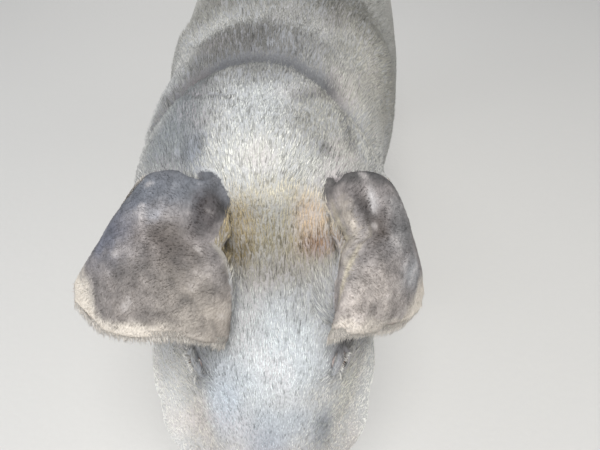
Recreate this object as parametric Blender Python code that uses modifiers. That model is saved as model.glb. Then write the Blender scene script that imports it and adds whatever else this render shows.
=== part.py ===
"""Life-size model of a lop-eared domestic sow, standing with her head raised a little.

She stands on z = 0 and faces -Y. Her left side is +X. All sizes are metres.
"""

import math

import bmesh
import bpy
import numpy as np
from mathutils import Matrix, Vector
from mathutils.bvhtree import BVHTree

# Driving dimensions
GAP = 0.0003
HEAD_PITCH = math.radians(30)
NECK_TURN = math.radians(4.5)
NECK_PIVOT = -0.360
SKULL_BACK = (-0.400, 0.640)
HEAD_LENGTH = 0.475
NECK_CUT = 0.022
SHOULDER_CUT = -0.272
EYE_RADIUS = 0.0140
EYE_PLACE = (0.212, 0.036)
EYE_VIEW = (1.0, 0.20, 0.30)
EAR_LENGTH_GRID = 12
EAR_WIDTH_GRID = 10
EAR_ROOT_THICKNESS = 0.014
EAR_ROOT_DROP = 0.024
EAR_MID_THICKNESS = 0.008
EAR_RIM_THICKNESS = 0.004
CORONET_HEIGHT = 0.048
CLEFT = 0.004
CLAW_SIDES = 12
FORE_FOOT = (0.135, -0.205)
HIND_FOOT = (0.138, 0.575)
STEP = 0.030
MIDDLE = (-0.0105, 0.0510)
TEATS_A_SIDE = 7
TEAT_STEP = 0.082
FIRST_TEAT = -0.075
TEAT_LINE = 0.070
TASSEL_COUNT = 5
NECK_SWAY = -0.017
SWAY_MIDDLE = -0.320
SWAY_REACH = 0.140
SEED = 7

# Locks of bristle: length, half width and half thickness
BACK_LOCK = (0.050, 0.0160, 0.0024)
RIM_LOCK = (0.026, 0.0085, 0.0014)
TASSEL_LOCK = (0.050, 0.0055, 0.0016)
BACK_ROW_STEP = 0.038
BACK_LOCKS_END = 0.10
EARS_REAR = -0.370

# How the flesh is smoothed into one surface
FLESH_VOXEL = 0.0055
EVEN_ROUNDS = 14
FILLET_ROUNDS = 90
FLESH_TRIANGLES = 4700

# Trunk sections: y, height of the axis, half width, rise to the back, drop to the belly, pear
TRUNK = (
    (0.842, 0.680, 0.020, 0.020, 0.030, 0.00),
    (0.832, 0.675, 0.075, 0.070, 0.110, 0.00),
    (0.795, 0.660, 0.135, 0.125, 0.165, 0.05),
    (0.720, 0.640, 0.186, 0.180, 0.205, 0.05),
    (0.600, 0.625, 0.218, 0.228, 0.232, 0.05),
    (0.430, 0.612, 0.236, 0.262, 0.268, 0.10),
    (0.230, 0.600, 0.242, 0.284, 0.300, 0.14),
    (0.030, 0.600, 0.238, 0.282, 0.298, 0.12),
    (-0.130, 0.600, 0.215, 0.266, 0.276, 0.06),
    (-0.250, 0.603, 0.203, 0.232, 0.262, 0.02),
    (-0.340, 0.610, 0.204, 0.208, 0.244, 0.02),
    (-0.420, 0.615, 0.201, 0.190, 0.212, 0.02),
    (-0.480, 0.615, 0.182, 0.164, 0.174, 0.00),
    (-0.520, 0.610, 0.130, 0.115, 0.120, 0.00),
    (-0.530, 0.610, 0.050, 0.050, 0.050, 0.00),
)

# Head sections: distance along the head, half width, rise to the forehead, drop to the jaw, pear
HEAD = (
    (-0.040, 0.060, 0.060, 0.080, 0.00),
    (-0.030, 0.120, 0.105, 0.140, 0.05),
    (0.000, 0.156, 0.138, 0.178, 0.12),
    (0.050, 0.160, 0.140, 0.194, 0.20),
    (0.110, 0.158, 0.126, 0.196, 0.26),
    (0.170, 0.154, 0.108, 0.188, 0.30),
    (0.230, 0.144, 0.086, 0.168, 0.34),
    (0.285, 0.118, 0.070, 0.134, 0.30),
    (0.340, 0.088, 0.060, 0.098, 0.20),
    (0.395, 0.067, 0.053, 0.066, 0.06),
    (0.430, 0.060, 0.051, 0.044, -0.04),
    (0.458, 0.059, 0.052, 0.037, -0.06),
    (0.475, 0.057, 0.050, 0.036, -0.06),
)

# Muscle and fat on both sides: x, y and z of the middle, and half sizes
MUSCLES = (
    (0.134, -0.150, 0.600, 0.088, 0.125, 0.210),
    (0.150, -0.150, 0.440, 0.060, 0.085, 0.090),
    (0.120, 0.660, 0.580, 0.108, 0.150, 0.190),
    (0.150, 0.520, 0.440, 0.070, 0.085, 0.110),
    (0.138, 0.687, 0.290, 0.022, 0.026, 0.040),
)

# Fat on the middle line, on the nape and the brisket
MIDDLE_FAT = (
    (0, -0.400, 0.725, 0.128, 0.120, 0.092),
    (0, -0.260, 0.400, 0.110, 0.120, 0.080),
)

# Jowl, cheek, brow and ear root on both sides, by the head's measures: t, x, h and half sizes.
# The last number moves both of a pair to her right, as the jowls sag.
FACE_MOUNDS = (
    (0.230, 0.112, -0.086, 0.073, 0.120, 0.088, 0.015),
    (0.302, 0.092, -0.066, 0.075, 0.090, 0.064, 0.012),
    (0.348, 0.070, -0.050, 0.062, 0.068, 0.048, 0.008),
    (0.192, 0.066, 0.050, 0.046, 0.075, 0.042, 0.0),
    (0.066, 0.090, 0.092, 0.048, 0.066, 0.050, 0.0),
    (0.128, 0.100, 0.098, 0.042, 0.066, 0.054, 0.0),
)

# Chin, and the rim of the snout's disc
NOSE_MOUNDS = (
    (0.376, 0, -0.056, 0.048, 0.062, 0.034),
    (0.465, 0, 0.008, 0.061, 0.014, 0.047),
)

# Leg sections: height, x and y from the foot's centre, half width, half length
FORE_LEG = (
    (0.600, -0.015, 0.030, 0.060, 0.110),
    (0.470, 0.002, 0.020, 0.078, 0.118),
    (0.400, 0.004, 0.012, 0.074, 0.100),
    (0.330, 0.004, 0.010, 0.058, 0.074),
    (0.270, 0.002, 0.006, 0.048, 0.056),
    (0.215, 0.000, 0.000, 0.045, 0.051),
    (0.175, 0.000, 0.004, 0.040, 0.044),
    (0.125, 0.000, 0.008, 0.034, 0.038),
    (0.090, 0.000, 0.012, 0.037, 0.044),
    (0.060, 0.000, 0.004, 0.037, 0.043),
    (0.040, 0.000, -0.004, 0.038, 0.044),
    (0.028, 0.000, -0.006, 0.036, 0.042),
)
HIND_LEG = (
    (0.620, -0.030, 0.030, 0.085, 0.160),
    (0.520, 0.000, 0.020, 0.092, 0.158),
    (0.430, 0.006, 0.012, 0.084, 0.134),
    (0.360, 0.006, 0.026, 0.064, 0.100),
    (0.310, 0.004, 0.054, 0.049, 0.074),
    (0.270, 0.002, 0.070, 0.040, 0.056),
    (0.225, 0.000, 0.066, 0.036, 0.045),
    (0.165, 0.000, 0.048, 0.033, 0.038),
    (0.105, 0.000, 0.030, 0.036, 0.043),
    (0.070, 0.000, 0.016, 0.037, 0.043),
    (0.042, 0.000, 0.002, 0.038, 0.045),
    (0.028, 0.000, -0.002, 0.036, 0.043),
)

SIDES = ((1, "left"), (-1, "right"))

# Each ear before the head's turn: root, and from it the bend and the tip, then the way across to the
# front edge, and how far both edges lie from the ear's middle line at each of EAR_KEYS
EARS = {
    1: {
        "root": (0.090, -0.556, 0.728),
        "bend": (0.074, 0.010, 0.068),
        "tip": (0.140, 0.036, -0.168),
        "base_across": (0.02, -0.82, -0.52),
        "tip_across": (-0.22, -0.73, -0.62),
        "front": (0.064, 0.102, 0.124, 0.108, 0.072, 0.016),
        "rear": (0.060, 0.080, 0.080, 0.058, 0.034, 0.012),
        "arch": 1.0,
        "lobe": 0.36,
        "ripple": 0.006,
    },
    -1: {
        "root": (-0.054, -0.556, 0.726),
        "bend": (-0.100, 0.012, 0.064),
        "tip": (-0.224, 0.028, -0.117),
        "base_across": (0.04, -0.82, -0.50),
        "tip_across": (0.00, -0.75, -0.64),
        "front": (0.076, 0.108, 0.123, 0.112, 0.078, 0.020),
        "rear": (0.056, 0.080, 0.082, 0.050, 0.022, 0.010),
        "arch": 0.8,
        "lobe": 0.43,
        "ripple": 0.008,
    },
}
EAR_KEYS = (0.0, 0.15, 0.40, 0.65, 0.85, 1.0)
EAR_ARCH = (0.010, 0.016, 0.022, 0.018, 0.009, 0.002)

COLOURS = {
    "hide": (0.62, 0.59, 0.56, 0.75),
    "ear": (0.30, 0.28, 0.30, 0.80),
    "claw": (0.23, 0.20, 0.18, 0.45),
    "eye": (0.03, 0.02, 0.015, 0.08),
}

# Where each leg is parted: x and height of the cut, its slope, and the span it holds along the body
LEG_CUTS = {"fore": (0.135, 0.336, math.radians(30)), "hind": (0.140, 0.352, math.radians(24))}
LEG_SPANS = {"fore": (-0.36, -0.06), "hind": (0.36, 0.86)}

# Claw rings from the sole up: height, half width, half length, y of the middle
CLAW = (
    (0.0000, 0.0140, 0.0300, -0.0060),
    (0.0030, 0.0156, 0.0320, -0.0060),
    (0.0200, 0.0158, 0.0310, -0.0030),
    (0.0400, 0.0160, 0.0290, 0.0010),
    (0.0477, 0.0158, 0.0275, 0.0020),
)

# The mouth's line on the face: distance along the head and height from its axis
MOUTH = ((0.335, -0.050), (0.350, -0.052), (0.372, -0.044), (0.395, -0.035), (0.414, -0.030), (0.430, -0.028))
LIP = (0.4335, 0, -0.028)
LIP_RADII = (0.043, 0.012, 0.0042)
NOSTRIL = (0.474, 0.0235, 0.004)
NOSTRIL_RADII = (0.0095, 0.020, 0.0120)

# A lock's rings: share of its length, rise off the skin, and shares of its half width and thickness
LOCK_SHAPE = ((-0.15, -0.0055, 0.80, 1.0), (0.24, 0.0006, 1.00, 1.0), (0.64, 0.0032, 0.86, 0.8))
LOCK_TIP_RISE = 0.0036

# Where the tail's middle runs: x, y, z and radius
TAIL = (
    (0.000, 0.780, 0.720, 0.0190),
    (0.000, 0.828, 0.742, 0.0175),
    (0.000, 0.866, 0.738, 0.0155),
    (0.002, 0.888, 0.700, 0.0140),
    (0.010, 0.886, 0.654, 0.0125),
    (0.026, 0.868, 0.622, 0.0112),
    (0.050, 0.862, 0.618, 0.0102),
    (0.066, 0.874, 0.644, 0.0094),
    (0.060, 0.900, 0.660, 0.0085),
    (0.046, 0.922, 0.636, 0.0076),
    (0.044, 0.926, 0.596, 0.0066),
)


def clear_scene():
    for obj in list(bpy.data.objects):
        bpy.data.objects.remove(obj)


def material(name):
    """The plain finish of that name, made once."""
    found = bpy.data.materials.get(name)
    if found:
        return found
    made = bpy.data.materials.new(name)
    made.use_nodes = True
    shader = made.node_tree.nodes["Principled BSDF"]
    red, green, blue, rough = COLOURS[name]
    shader.inputs["Base Color"].default_value = (red, green, blue, 1)
    shader.inputs["Roughness"].default_value = rough
    shader.inputs["Metallic"].default_value = 0
    return made


def add_object(name, mesh, collection, finish=None):
    obj = bpy.data.objects.new(name, mesh)
    collection.objects.link(obj)
    if finish:
        mesh.materials.clear()
        mesh.materials.append(material(finish))
    return obj


def eased(keys, values, at):
    """Cubic curve through the values that never swings past them (Fritsch and Carlson)."""
    keys, values, at = (np.asarray(a, float) for a in (keys, values, at))
    step = np.diff(keys)
    slope = np.diff(values) / step
    tangent = np.concatenate([slope[:1], (slope[1:] + slope[:-1]) / 2, slope[-1:]])
    turning = slope[1:] * slope[:-1] <= 0
    tangent[1:-1][turning] = 0
    for i, rise in enumerate(slope):
        if rise == 0:
            tangent[i] = tangent[i + 1] = 0
            continue
        a, b = tangent[i] / rise, tangent[i + 1] / rise
        reach = math.hypot(a, b)
        if reach > 3:
            tangent[i], tangent[i + 1] = 3 * a / reach * rise, 3 * b / reach * rise
    place = np.clip(np.searchsorted(keys, at) - 1, 0, len(step) - 1)
    h = step[place]
    u = (at - keys[place]) / h
    return (
        values[place] * (1 + 2 * u) * (1 - u) ** 2
        + tangent[place] * h * u * (1 - u) ** 2
        + values[place + 1] * u * u * (3 - 2 * u)
        + tangent[place + 1] * h * u * u * (u - 1)
    )


def rows_between(table, count):
    """The table's columns, eased to count rows."""
    columns = np.array(table, float).T
    if columns[0][0] > columns[0][-1]:
        columns = columns[:, ::-1]
    at = np.linspace(columns[0][0], columns[0][-1], count)
    return np.stack([at] + [eased(columns[0], c, at) for c in columns[1:]], axis=1)


def section(width, rise, drop, pear, count, power=2.25):
    """Points round a cross-section: x to the side and h up. Pear makes it wider below than above."""
    turn = (np.arange(count) + 0.5) / count * 2 * math.pi
    c, s = np.cos(turn), np.sin(turn)
    up = np.sign(s) * np.abs(s) ** (2 / power)
    x = width * np.sign(c) * np.abs(c) ** (2 / power) * (1 - pear * up)
    return x, np.where(up > 0, rise, drop) * up


def head_point(t, x, h):
    """A point given by its distance along the head, to the side and up from its axis."""
    c, s = math.cos(HEAD_PITCH), math.sin(HEAD_PITCH)
    y0, z0 = SKULL_BACK
    t, x, h = np.broadcast_arrays(*(np.asarray(a, float) for a in (t, x, h)))
    return np.stack([x, y0 - t * c - h * s, z0 - t * s + h * c], axis=-1)


def loft(rings):
    """A closed mesh through rings of equal count, with a fan at each end."""
    rings = np.asarray(rings, float)
    many, round_ = rings.shape[:2]
    points = np.concatenate([rings.reshape(-1, 3), rings[[0, -1]].mean(axis=1)])
    faces = []
    for i in range(many - 1):
        for j in range(round_):
            k = (j + 1) % round_
            faces.append((i * round_ + j, i * round_ + k, (i + 1) * round_ + k, (i + 1) * round_ + j))
    first, last = many * round_, many * round_ + 1
    for j in range(round_):
        k = (j + 1) % round_
        faces.append((first, k, j))
        faces.append((last, (many - 1) * round_ + j, (many - 1) * round_ + k))
    mesh = bpy.data.meshes.new("loft")
    mesh.from_pydata(points.tolist(), [], faces)
    facing_out(mesh)
    return mesh


def facing_out(mesh):
    bm = bmesh.new()
    bm.from_mesh(mesh)
    bmesh.ops.recalc_face_normals(bm, faces=bm.faces)
    bm.to_mesh(mesh)
    bm.free()


def ball(centre, radii, rotation=None, segments=24, rings=14):
    bm = bmesh.new()
    turn = rotation.to_matrix().to_4x4() if rotation else Matrix.Identity(4)
    place = Matrix.Translation(Vector(centre)) @ turn @ Matrix.Diagonal((*radii, 1))
    bmesh.ops.create_uvsphere(bm, u_segments=segments, v_segments=rings, radius=1, matrix=place)
    mesh = bpy.data.meshes.new("ball")
    bm.to_mesh(mesh)
    bm.free()
    return mesh


def block(low, high):
    """A box between two corners."""
    low, high = Vector(low), Vector(high)
    bm = bmesh.new()
    place = Matrix.Translation((low + high) / 2) @ Matrix.Diagonal((*(high - low), 1))
    bmesh.ops.create_cube(bm, size=1, matrix=place)
    mesh = bpy.data.meshes.new("block")
    bm.to_mesh(mesh)
    bm.free()
    return mesh


def trunk():
    rings = []
    for y, height, width, rise, drop, pear in rows_between(TRUNK, 70):
        x, h = section(width, rise, drop, pear, 56)
        rings.append(np.stack([x, np.full_like(x, y), height + h], axis=1))
    return loft(rings)


def head_core():
    rings = []
    for t, width, rise, drop, pear in rows_between(HEAD, 50):
        x, h = section(width, rise, drop, pear, 48)
        rings.append(head_point(t, x, h))
    return loft(rings)


def leg_core(table, foot, side, step):
    """One leg's loft. Step moves it forward, less so towards the body."""
    rings = []
    for height, x0, y0, width, length in rows_between(table, 40):
        x, y = section(width, length, length, 0, 28, 2.0)
        share = 1 - min(1, height / 0.45)
        cx = side * (foot[0] + x0)
        cy = foot[1] + y0 - step * share
        rings.append(np.stack([cx + x, cy + y, np.full_like(x, height)], axis=1))
    return loft(rings)


def mound(t, x, h, radii):
    """A ball set by the head's own measures, with its long side along the head."""
    return ball(head_point(t, x, h), radii, Matrix.Rotation(HEAD_PITCH, 3, "X").to_quaternion())


def flesh_pieces():
    """Every form that the flesh is fused from, as closed meshes that overlap."""
    pieces = [trunk(), head_core()]
    for side in (1, -1):
        pieces.append(leg_core(FORE_LEG, FORE_FOOT, side, steps_of("fore", side)))
        pieces.append(leg_core(HIND_LEG, HIND_FOOT, side, steps_of("hind", side)))
        pieces += [ball((side * x, y, z), radii) for x, y, z, *radii in MUSCLES]
        pieces += [mound(t, side * x - sag, h, (a, b, c)) for t, x, h, a, b, c, sag in FACE_MOUNDS]
    pieces += [ball((x, y, z), radii) for x, y, z, *radii in MIDDLE_FAT]
    pieces += [mound(t, x, h, radii) for t, x, h, *radii in NOSE_MOUNDS]
    return pieces


def joined(name, meshes, collection):
    """One object that holds all the meshes as loose bodies."""
    bm = bmesh.new()
    for mesh in meshes:
        bm.from_mesh(mesh)
        bpy.data.meshes.remove(mesh)
    whole = bpy.data.meshes.new(name)
    bm.to_mesh(whole)
    bm.free()
    return add_object(name, whole, collection)


def settle(obj):
    """Replaces the object's mesh by what its modifiers make of it."""
    graph = bpy.context.evaluated_depsgraph_get()
    made = bpy.data.meshes.new_from_object(obj.evaluated_get(graph))
    old = obj.data
    obj.modifiers.clear()
    obj.data = made
    bpy.data.meshes.remove(old)
    return obj


def points_of(mesh):
    found = np.empty(len(mesh.vertices) * 3, np.float32)
    mesh.vertices.foreach_get("co", found)
    return found.reshape(-1, 3).astype(float)


def normals_of(mesh):
    found = np.empty(len(mesh.vertices) * 3, np.float32)
    mesh.vertices.foreach_get("normal", found)
    return found.reshape(-1, 3).astype(float)


def put_points(mesh, points):
    mesh.vertices.foreach_set("co", points.astype(np.float32).ravel())
    mesh.update()


def pull_to_neighbours(points, ends, share):
    """How far each point lies from the middle of its neighbours, times share."""
    count = np.bincount(ends[:, 0], minlength=len(points))
    pull = np.empty_like(points)
    for axis in range(3):
        total = np.bincount(ends[:, 0], weights=points[ends[:, 1], axis], minlength=len(points))
        pull[:, axis] = total / count - points[:, axis]
    return pull * share


def smooth_flesh(mesh):
    """Rounds the joins: hollows are filled over many rounds, and then all is evened a little."""
    ends = np.empty(len(mesh.edges) * 2, np.int32)
    mesh.edges.foreach_get("vertices", ends)
    ends = ends.reshape(-1, 2)
    ends = np.concatenate([ends, ends[:, ::-1]])
    points = points_of(mesh)
    for turn in range(FILLET_ROUNDS):
        if turn % 10 == 0:
            put_points(mesh, points)
            normals = normals_of(mesh)
        pull = pull_to_neighbours(points, ends, 0.5)
        out = np.maximum((pull * normals).sum(axis=1), 0)
        points += normals * (out * fillet_share(points))[:, None]
        points += pull * 0.04
    for _ in range(EVEN_ROUNDS):
        points += pull_to_neighbours(points, ends, 0.5)
        points -= pull_to_neighbours(points, ends, 0.5) * 0.6
    put_points(mesh, points)


def fillet_share(points):
    """Hollows are filled in full on the body, less on the cheeks, and least on the face and the feet."""
    y, z = points[:, 1], points[:, 2]
    face = np.clip((SKULL_BACK[0] - y) / 0.2, 0, 1)
    cheek = np.clip((0.53 - z) / 0.06, 0, 1) * np.clip((y + 0.76) / 0.05, 0, 1)
    foot = np.clip((0.12 - z) / 0.05, 0, 1)
    return 1 - 0.75 * np.maximum(face * (1 - 0.6 * cheek), foot)


def valley(distance, width):
    return np.exp(-((distance / width) ** 2))


def fold_flesh(mesh):
    """Presses the folds of the neck, flank and elbow into the surface."""
    points, normals = points_of(mesh), normals_of(mesh)
    x, y, z = points.T
    side = np.abs(x)
    upper = np.clip((z - 0.52) / 0.16, 0, 1)
    # Three folds cross the neck: behind the nape's roll, before the shoulders, and a fine one between
    deep_fold = y - (-0.274 - 2.4 * side**2)
    broad_fold = y - (-0.178 - 0.2 * side**2)
    fine_fold = y - (-0.371 + 3.6 * side**2)
    sink = 0.019 * valley(deep_fold, 0.024) * upper
    sink += 0.013 * valley(broad_fold, 0.042) * upper
    sink += 0.004 * valley(fine_fold, 0.007) * upper
    # Flank in front of the thigh
    flank = np.hypot(y - 0.405, (z - 0.470) * 0.6)
    sink += 0.022 * valley(flank, 0.055) * np.clip(side / 0.15, 0, 1)
    # Behind the elbow
    elbow = np.hypot(y + 0.055, (z - 0.430) * 0.55)
    sink += 0.014 * valley(elbow, 0.040) * np.clip(side / 0.15, 0, 1)
    # Middle line of the back and between the hams
    sink += 0.004 * valley(x, 0.030) * np.clip((z - 0.7) / 0.1, 0, 1) * np.clip((y + 0.1) / 0.2, 0, 1)
    sink += 0.016 * valley(x, 0.020) * np.clip((y - 0.74) / 0.06, 0, 1) * np.clip((0.66 - z) / 0.1, 0, 1)
    put_points(mesh, points - normals * sink[:, None])


def turn_neck(points):
    """Swings the head to her left about the neck, which bows to her right. The trunk stays."""
    share = np.clip((-0.280 - points[:, 1]) / 0.160, 0, 1)
    angle = NECK_TURN * share * share * (3 - 2 * share)
    c, s = np.cos(angle), np.sin(angle)
    x, y = points[:, 0], points[:, 1] - NECK_PIVOT
    sway = NECK_SWAY * valley(points[:, 1] - SWAY_MIDDLE, SWAY_REACH)
    return np.stack([c * x - s * y + sway, NECK_PIVOT + s * x + c * y, points[:, 2]], axis=1)


def flesh(collection):
    """The whole of the body's flesh as one closed faceted surface."""
    body = joined("flesh", flesh_pieces(), collection)
    remesh = body.modifiers.new("fuse", "REMESH")
    remesh.mode = "VOXEL"
    remesh.voxel_size = FLESH_VOXEL
    settle(body)
    smooth_flesh(body.data)
    fold_flesh(body.data)
    put_points(body.data, turn_neck(points_of(body.data)))
    facets = body.modifiers.new("facets", "DECIMATE")
    facets.ratio = FLESH_TRIANGLES / (2 * len(body.data.polygons))
    facets.use_collapse_triangulate = True
    return settle(body)


def boolean(target, meshes, operation, helpers):
    """Joins, cuts or crosses the target with closed meshes, one after another."""
    for mesh in meshes:
        cutter = add_object("cutter", mesh, helpers)
        step = target.modifiers.new(operation, "BOOLEAN")
        step.operation = operation
        step.solver = "EXACT"
        step.object = cutter
        settle(target)
        bpy.data.objects.remove(cutter)
    return target


def union_all(target, meshes, helpers):
    """Fuses many closed meshes with the target in one union."""
    bundle = bpy.data.collections.new("bundle")
    helpers.children.link(bundle)
    for mesh in meshes:
        add_object("piece", mesh, bundle)
    step = target.modifiers.new("fuse", "BOOLEAN")
    step.operation = "UNION"
    step.solver = "EXACT"
    step.operand_type = "COLLECTION"
    step.collection = bundle
    settle(target)
    for obj in list(bundle.objects):
        bpy.data.objects.remove(obj)
    bpy.data.collections.remove(bundle)
    return largest_body(target)


def lock(root, normal, way, size, lift=1.0):
    """One flat lock: four-sided, sunk at its root, bending over, and tapered to its tip."""
    length, half_width, half_thick = size
    along = (way - normal * way.dot(normal)).normalized()
    across = normal.cross(along)
    rings = []
    for share, rise, wide, thick in LOCK_SHAPE:
        middle = root + along * share * length + normal * rise * lift
        w, t = half_width * wide, half_thick * thick
        rings.append([middle + across * w, middle + normal * t, middle - across * w, middle - normal * t])
    many = len(rings)
    points = [tuple(p) for ring in rings for p in ring]
    points.append(tuple(root + along * length + normal * LOCK_TIP_RISE * lift))
    faces = [(3, 2, 1, 0)]
    for i in range(many - 1):
        for j in range(4):
            k = (j + 1) % 4
            faces.append((4 * i + j, 4 * i + k, 4 * i + 4 + k))
            faces.append((4 * i + j, 4 * i + 4 + k, 4 * i + 4 + j))
    for j in range(4):
        faces.append((4 * many - 4 + j, 4 * many - 4 + (j + 1) % 4, 4 * many))
    mesh = bpy.data.meshes.new("lock")
    mesh.from_pydata(points, [], faces)
    facing_out(mesh)
    return mesh


def back_locks(tree):
    """Locks along the nape, withers and back, in staggered rows that point to the tail."""
    rng = np.random.default_rng(SEED)
    made = []
    y = -0.470
    row = 0
    while y < BACK_LOCKS_END:
        reach = 0.125 - 0.085 * min(1, max(0, (y + 0.25) / 0.45))
        if y < EARS_REAR:
            reach = 0.066
        count = max(2, round(2 * reach / BACK_ROW_STEP))
        for i in range(count):
            share = (i + 0.5 + 0.25 * (-1) ** row) / count * 2 - 1
            x = share * reach + rng.uniform(-0.003, 0.003)
            start = Vector((x, y + rng.uniform(-0.004, 0.004), 1.2))
            start = Vector(turn_neck(np.array([start]))[0])
            point, normal, _, _ = tree.ray_cast(start, Vector((0, 0, -1)))
            way = Vector((share * 0.35 + rng.uniform(-0.12, 0.12), 1, 0))
            length = BACK_LOCK[0] * rng.uniform(0.85, 1.1)
            made.append(lock(point, normal, way, (length, *BACK_LOCK[1:]), rng.uniform(0.8, 1.3)))
        y += BACK_ROW_STEP
        row += 1
    return made


def rim_locks(side):
    """Locks that fringe the ear's front edge and tip, flat in the ear's own sheet."""
    rng = np.random.default_rng(SEED + side)
    points = ear_sheet(side)
    normals = sheet_normals(points, side)
    rows, columns = points.shape[:2]
    front, rear = columns - 1, 0
    spots = [(i, front, front - 2) for i in range(4, rows - 1)]
    spots += [(i, rear, rear + 2) for i in range(rows - 2, 7, -2)]
    turn = head_turn()
    made = []
    for i, edge, behind in spots:
        rim, back = turn @ Vector(points[i, edge]), turn @ Vector(points[i, behind])
        way = (rim - back).normalized()
        way = (way + Vector((0, 0, rng.uniform(-0.25, 0.0)))).normalized()
        normal = turn.to_3x3() @ Vector(normals[i, edge])
        size = (RIM_LOCK[0] * rng.uniform(0.8, 1.15), *RIM_LOCK[1:])
        made.append(lock(rim - way * 0.0036, normal, way, size, 0.2))
    return made


def tassel_locks():
    """Locks at the end of the tail."""
    keys = np.array(TAIL)
    end, before = Vector(keys[-1, :3]), Vector(keys[-2, :3])
    way = (end - before).normalized()
    side = way.orthogonal().normalized()
    other = way.cross(side)
    made = []
    for i in range(TASSEL_COUNT):
        a = i / TASSEL_COUNT * 2 * math.pi + 0.35
        normal = side * math.cos(a) + other * math.sin(a)
        root = end - way * (0.012 + 0.006 * (i % 2)) + normal * 0.0035
        made.append(lock(root, normal, way + normal * 0.10, TASSEL_LOCK, 0.8))
    return made


def largest_body(obj):
    """Keeps only the largest closed surface."""
    bm = bmesh.new()
    bm.from_mesh(obj.data)
    left = set(bm.verts)
    best = set()
    while left:
        stack = [left.pop()]
        found = set(stack)
        while stack:
            for edge in stack.pop().link_edges:
                for vert in edge.verts:
                    if vert in left:
                        left.discard(vert)
                        found.add(vert)
                        stack.append(vert)
        if len(found) > len(best):
            best = found
    bmesh.ops.delete(bm, geom=[v for v in bm.verts if v not in best], context="VERTS")
    bm.to_mesh(obj.data)
    bm.free()
    return obj


def copy_of(obj, name, collection, finish):
    return add_object(name, obj.data.copy(), collection, finish)


def swollen(obj, by=GAP):
    """The object's mesh, grown outwards by a gap."""
    mesh = obj.data.copy()
    put_points(mesh, points_of(mesh) + normals_of(mesh) * by)
    return mesh


def in_front_of_neck(offset):
    """Everything ahead of the plane between neck and head."""
    mesh = block((-0.4, 0, -0.7), (0.4, 0.6, 0.4))
    c, s = math.cos(HEAD_PITCH), math.sin(HEAD_PITCH)
    turn = Matrix(((1, 0, 0), (0, -c, -s), (0, -s, c)))
    place = Matrix.Translation(head_point(NECK_CUT + offset, 0, 0)) @ turn.to_4x4()
    mesh.transform(head_turn() @ place)
    facing_out(mesh)
    return mesh


def leg_block(pair, side, offset):
    """The space of one leg: below a plane that rises outwards, offset down from it. Its walls are upright."""
    x, z, slope = LEG_CUTS[pair]
    near, far = LEG_SPANS[pair]
    mesh = block((-0.105, near, -0.5), (0.2, far, 0))
    shear = Matrix.Identity(4)
    shear[2][0] = math.tan(slope)
    place = Matrix.Translation((side * x, 0, z - offset))
    mesh.transform(place @ Matrix.Diagonal((side, 1, 1, 1)) @ shear)
    facing_out(mesh)
    return mesh


def part_body(body, nodes, helpers):
    """Parts the whole body into torso, neck, head and four legs with thin flat cuts."""
    made = {}
    for pair in ("fore", "hind"):
        for side, word in SIDES:
            name = f"{pair}leg_{word}"
            leg = copy_of(body, name, nodes, "hide")
            boolean(leg, [leg_block(pair, side, GAP)], "INTERSECT", helpers)
            boolean(leg, [block((-1, -1, -0.1), (1, 1, CORONET_HEIGHT))], "DIFFERENCE", helpers)
            made[name] = largest_body(leg)
    cuts = [leg_block(pair, side, 0) for pair in ("fore", "hind") for side in (1, -1)]
    boolean(body, cuts, "DIFFERENCE", helpers)
    largest_body(body)
    front = copy_of(body, "neck", nodes, "hide")
    boolean(front, [block((-1, -2, 0), (1, SHOULDER_CUT - GAP, 2))], "INTERSECT", helpers)
    made["torso"] = copy_of(body, "torso", nodes, "hide")
    boolean(made["torso"], [block((-1, -2, 0), (1, SHOULDER_CUT, 2))], "DIFFERENCE", helpers)
    made["head"] = copy_of(front, "head", nodes, "hide")
    boolean(made["head"], [in_front_of_neck(GAP)], "INTERSECT", helpers)
    boolean(front, [in_front_of_neck(0)], "DIFFERENCE", helpers)
    made["neck"] = front
    for name in ("torso", "head", "neck"):
        largest_body(made[name])
    return made


def surface_tree(mesh):
    return BVHTree.FromPolygons([v.co for v in mesh.vertices], [p.vertices[:] for p in mesh.polygons])


def head_turn():
    """The turn of the head about the neck's upright axis, as a matrix."""
    pivot = Vector((0, NECK_PIVOT, 0))
    return Matrix.Translation(pivot) @ Matrix.Rotation(NECK_TURN, 4, "Z") @ Matrix.Translation(-pivot)


def head_axes(side):
    """Unit vectors out to one side, forward along the head, and up from it, after its turn."""
    c, s = math.cos(HEAD_PITCH), math.sin(HEAD_PITCH)
    turn = head_turn().to_3x3()
    return turn @ Vector((side, 0, 0)), turn @ Vector((0, -c, -s)), turn @ Vector((0, -s, c))


def on_head(tree, side, t, h, toward=(1.0, 0.0, 0.0)):
    """The point and normal met on the way in to the head's axis from one side at (t, h)."""
    out, ahead, up = head_axes(side)
    way = (out * toward[0] + ahead * toward[1] + up * toward[2]).normalized()
    start = head_turn() @ Vector(head_point(t, 0, h)) + way * 0.5
    point, normal, _, _ = tree.ray_cast(start, -way)
    return point, normal


def eye_seat(tree, side):
    """Centre of the eyeball and the way it looks."""
    point, normal = on_head(tree, side, *EYE_PLACE, toward=EYE_VIEW)
    return point - normal * EYE_RADIUS * 0.55, normal


def lid_ring(centre, normal, side):
    """A raised almond of skin round the eye."""
    _, ahead, _ = head_axes(side)
    along = (ahead - normal * ahead.dot(normal)).normalized()
    across = normal.cross(along)
    rings = []
    for i in range(20):
        a = i / 20 * 2 * math.pi
        spoke = along * math.cos(a) * 1.28 + across * math.sin(a) * 0.86
        middle = centre + normal * EYE_RADIUS * 0.52 + spoke * EYE_RADIUS * 1.02
        outward = spoke.normalized()
        ring = []
        for j in range(7):
            b = j / 7 * 2 * math.pi
            ring.append(middle + outward * math.cos(b) * 0.0048 + normal * math.sin(b) * 0.0042)
        rings.append(ring)
    return closed_band(rings)


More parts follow.
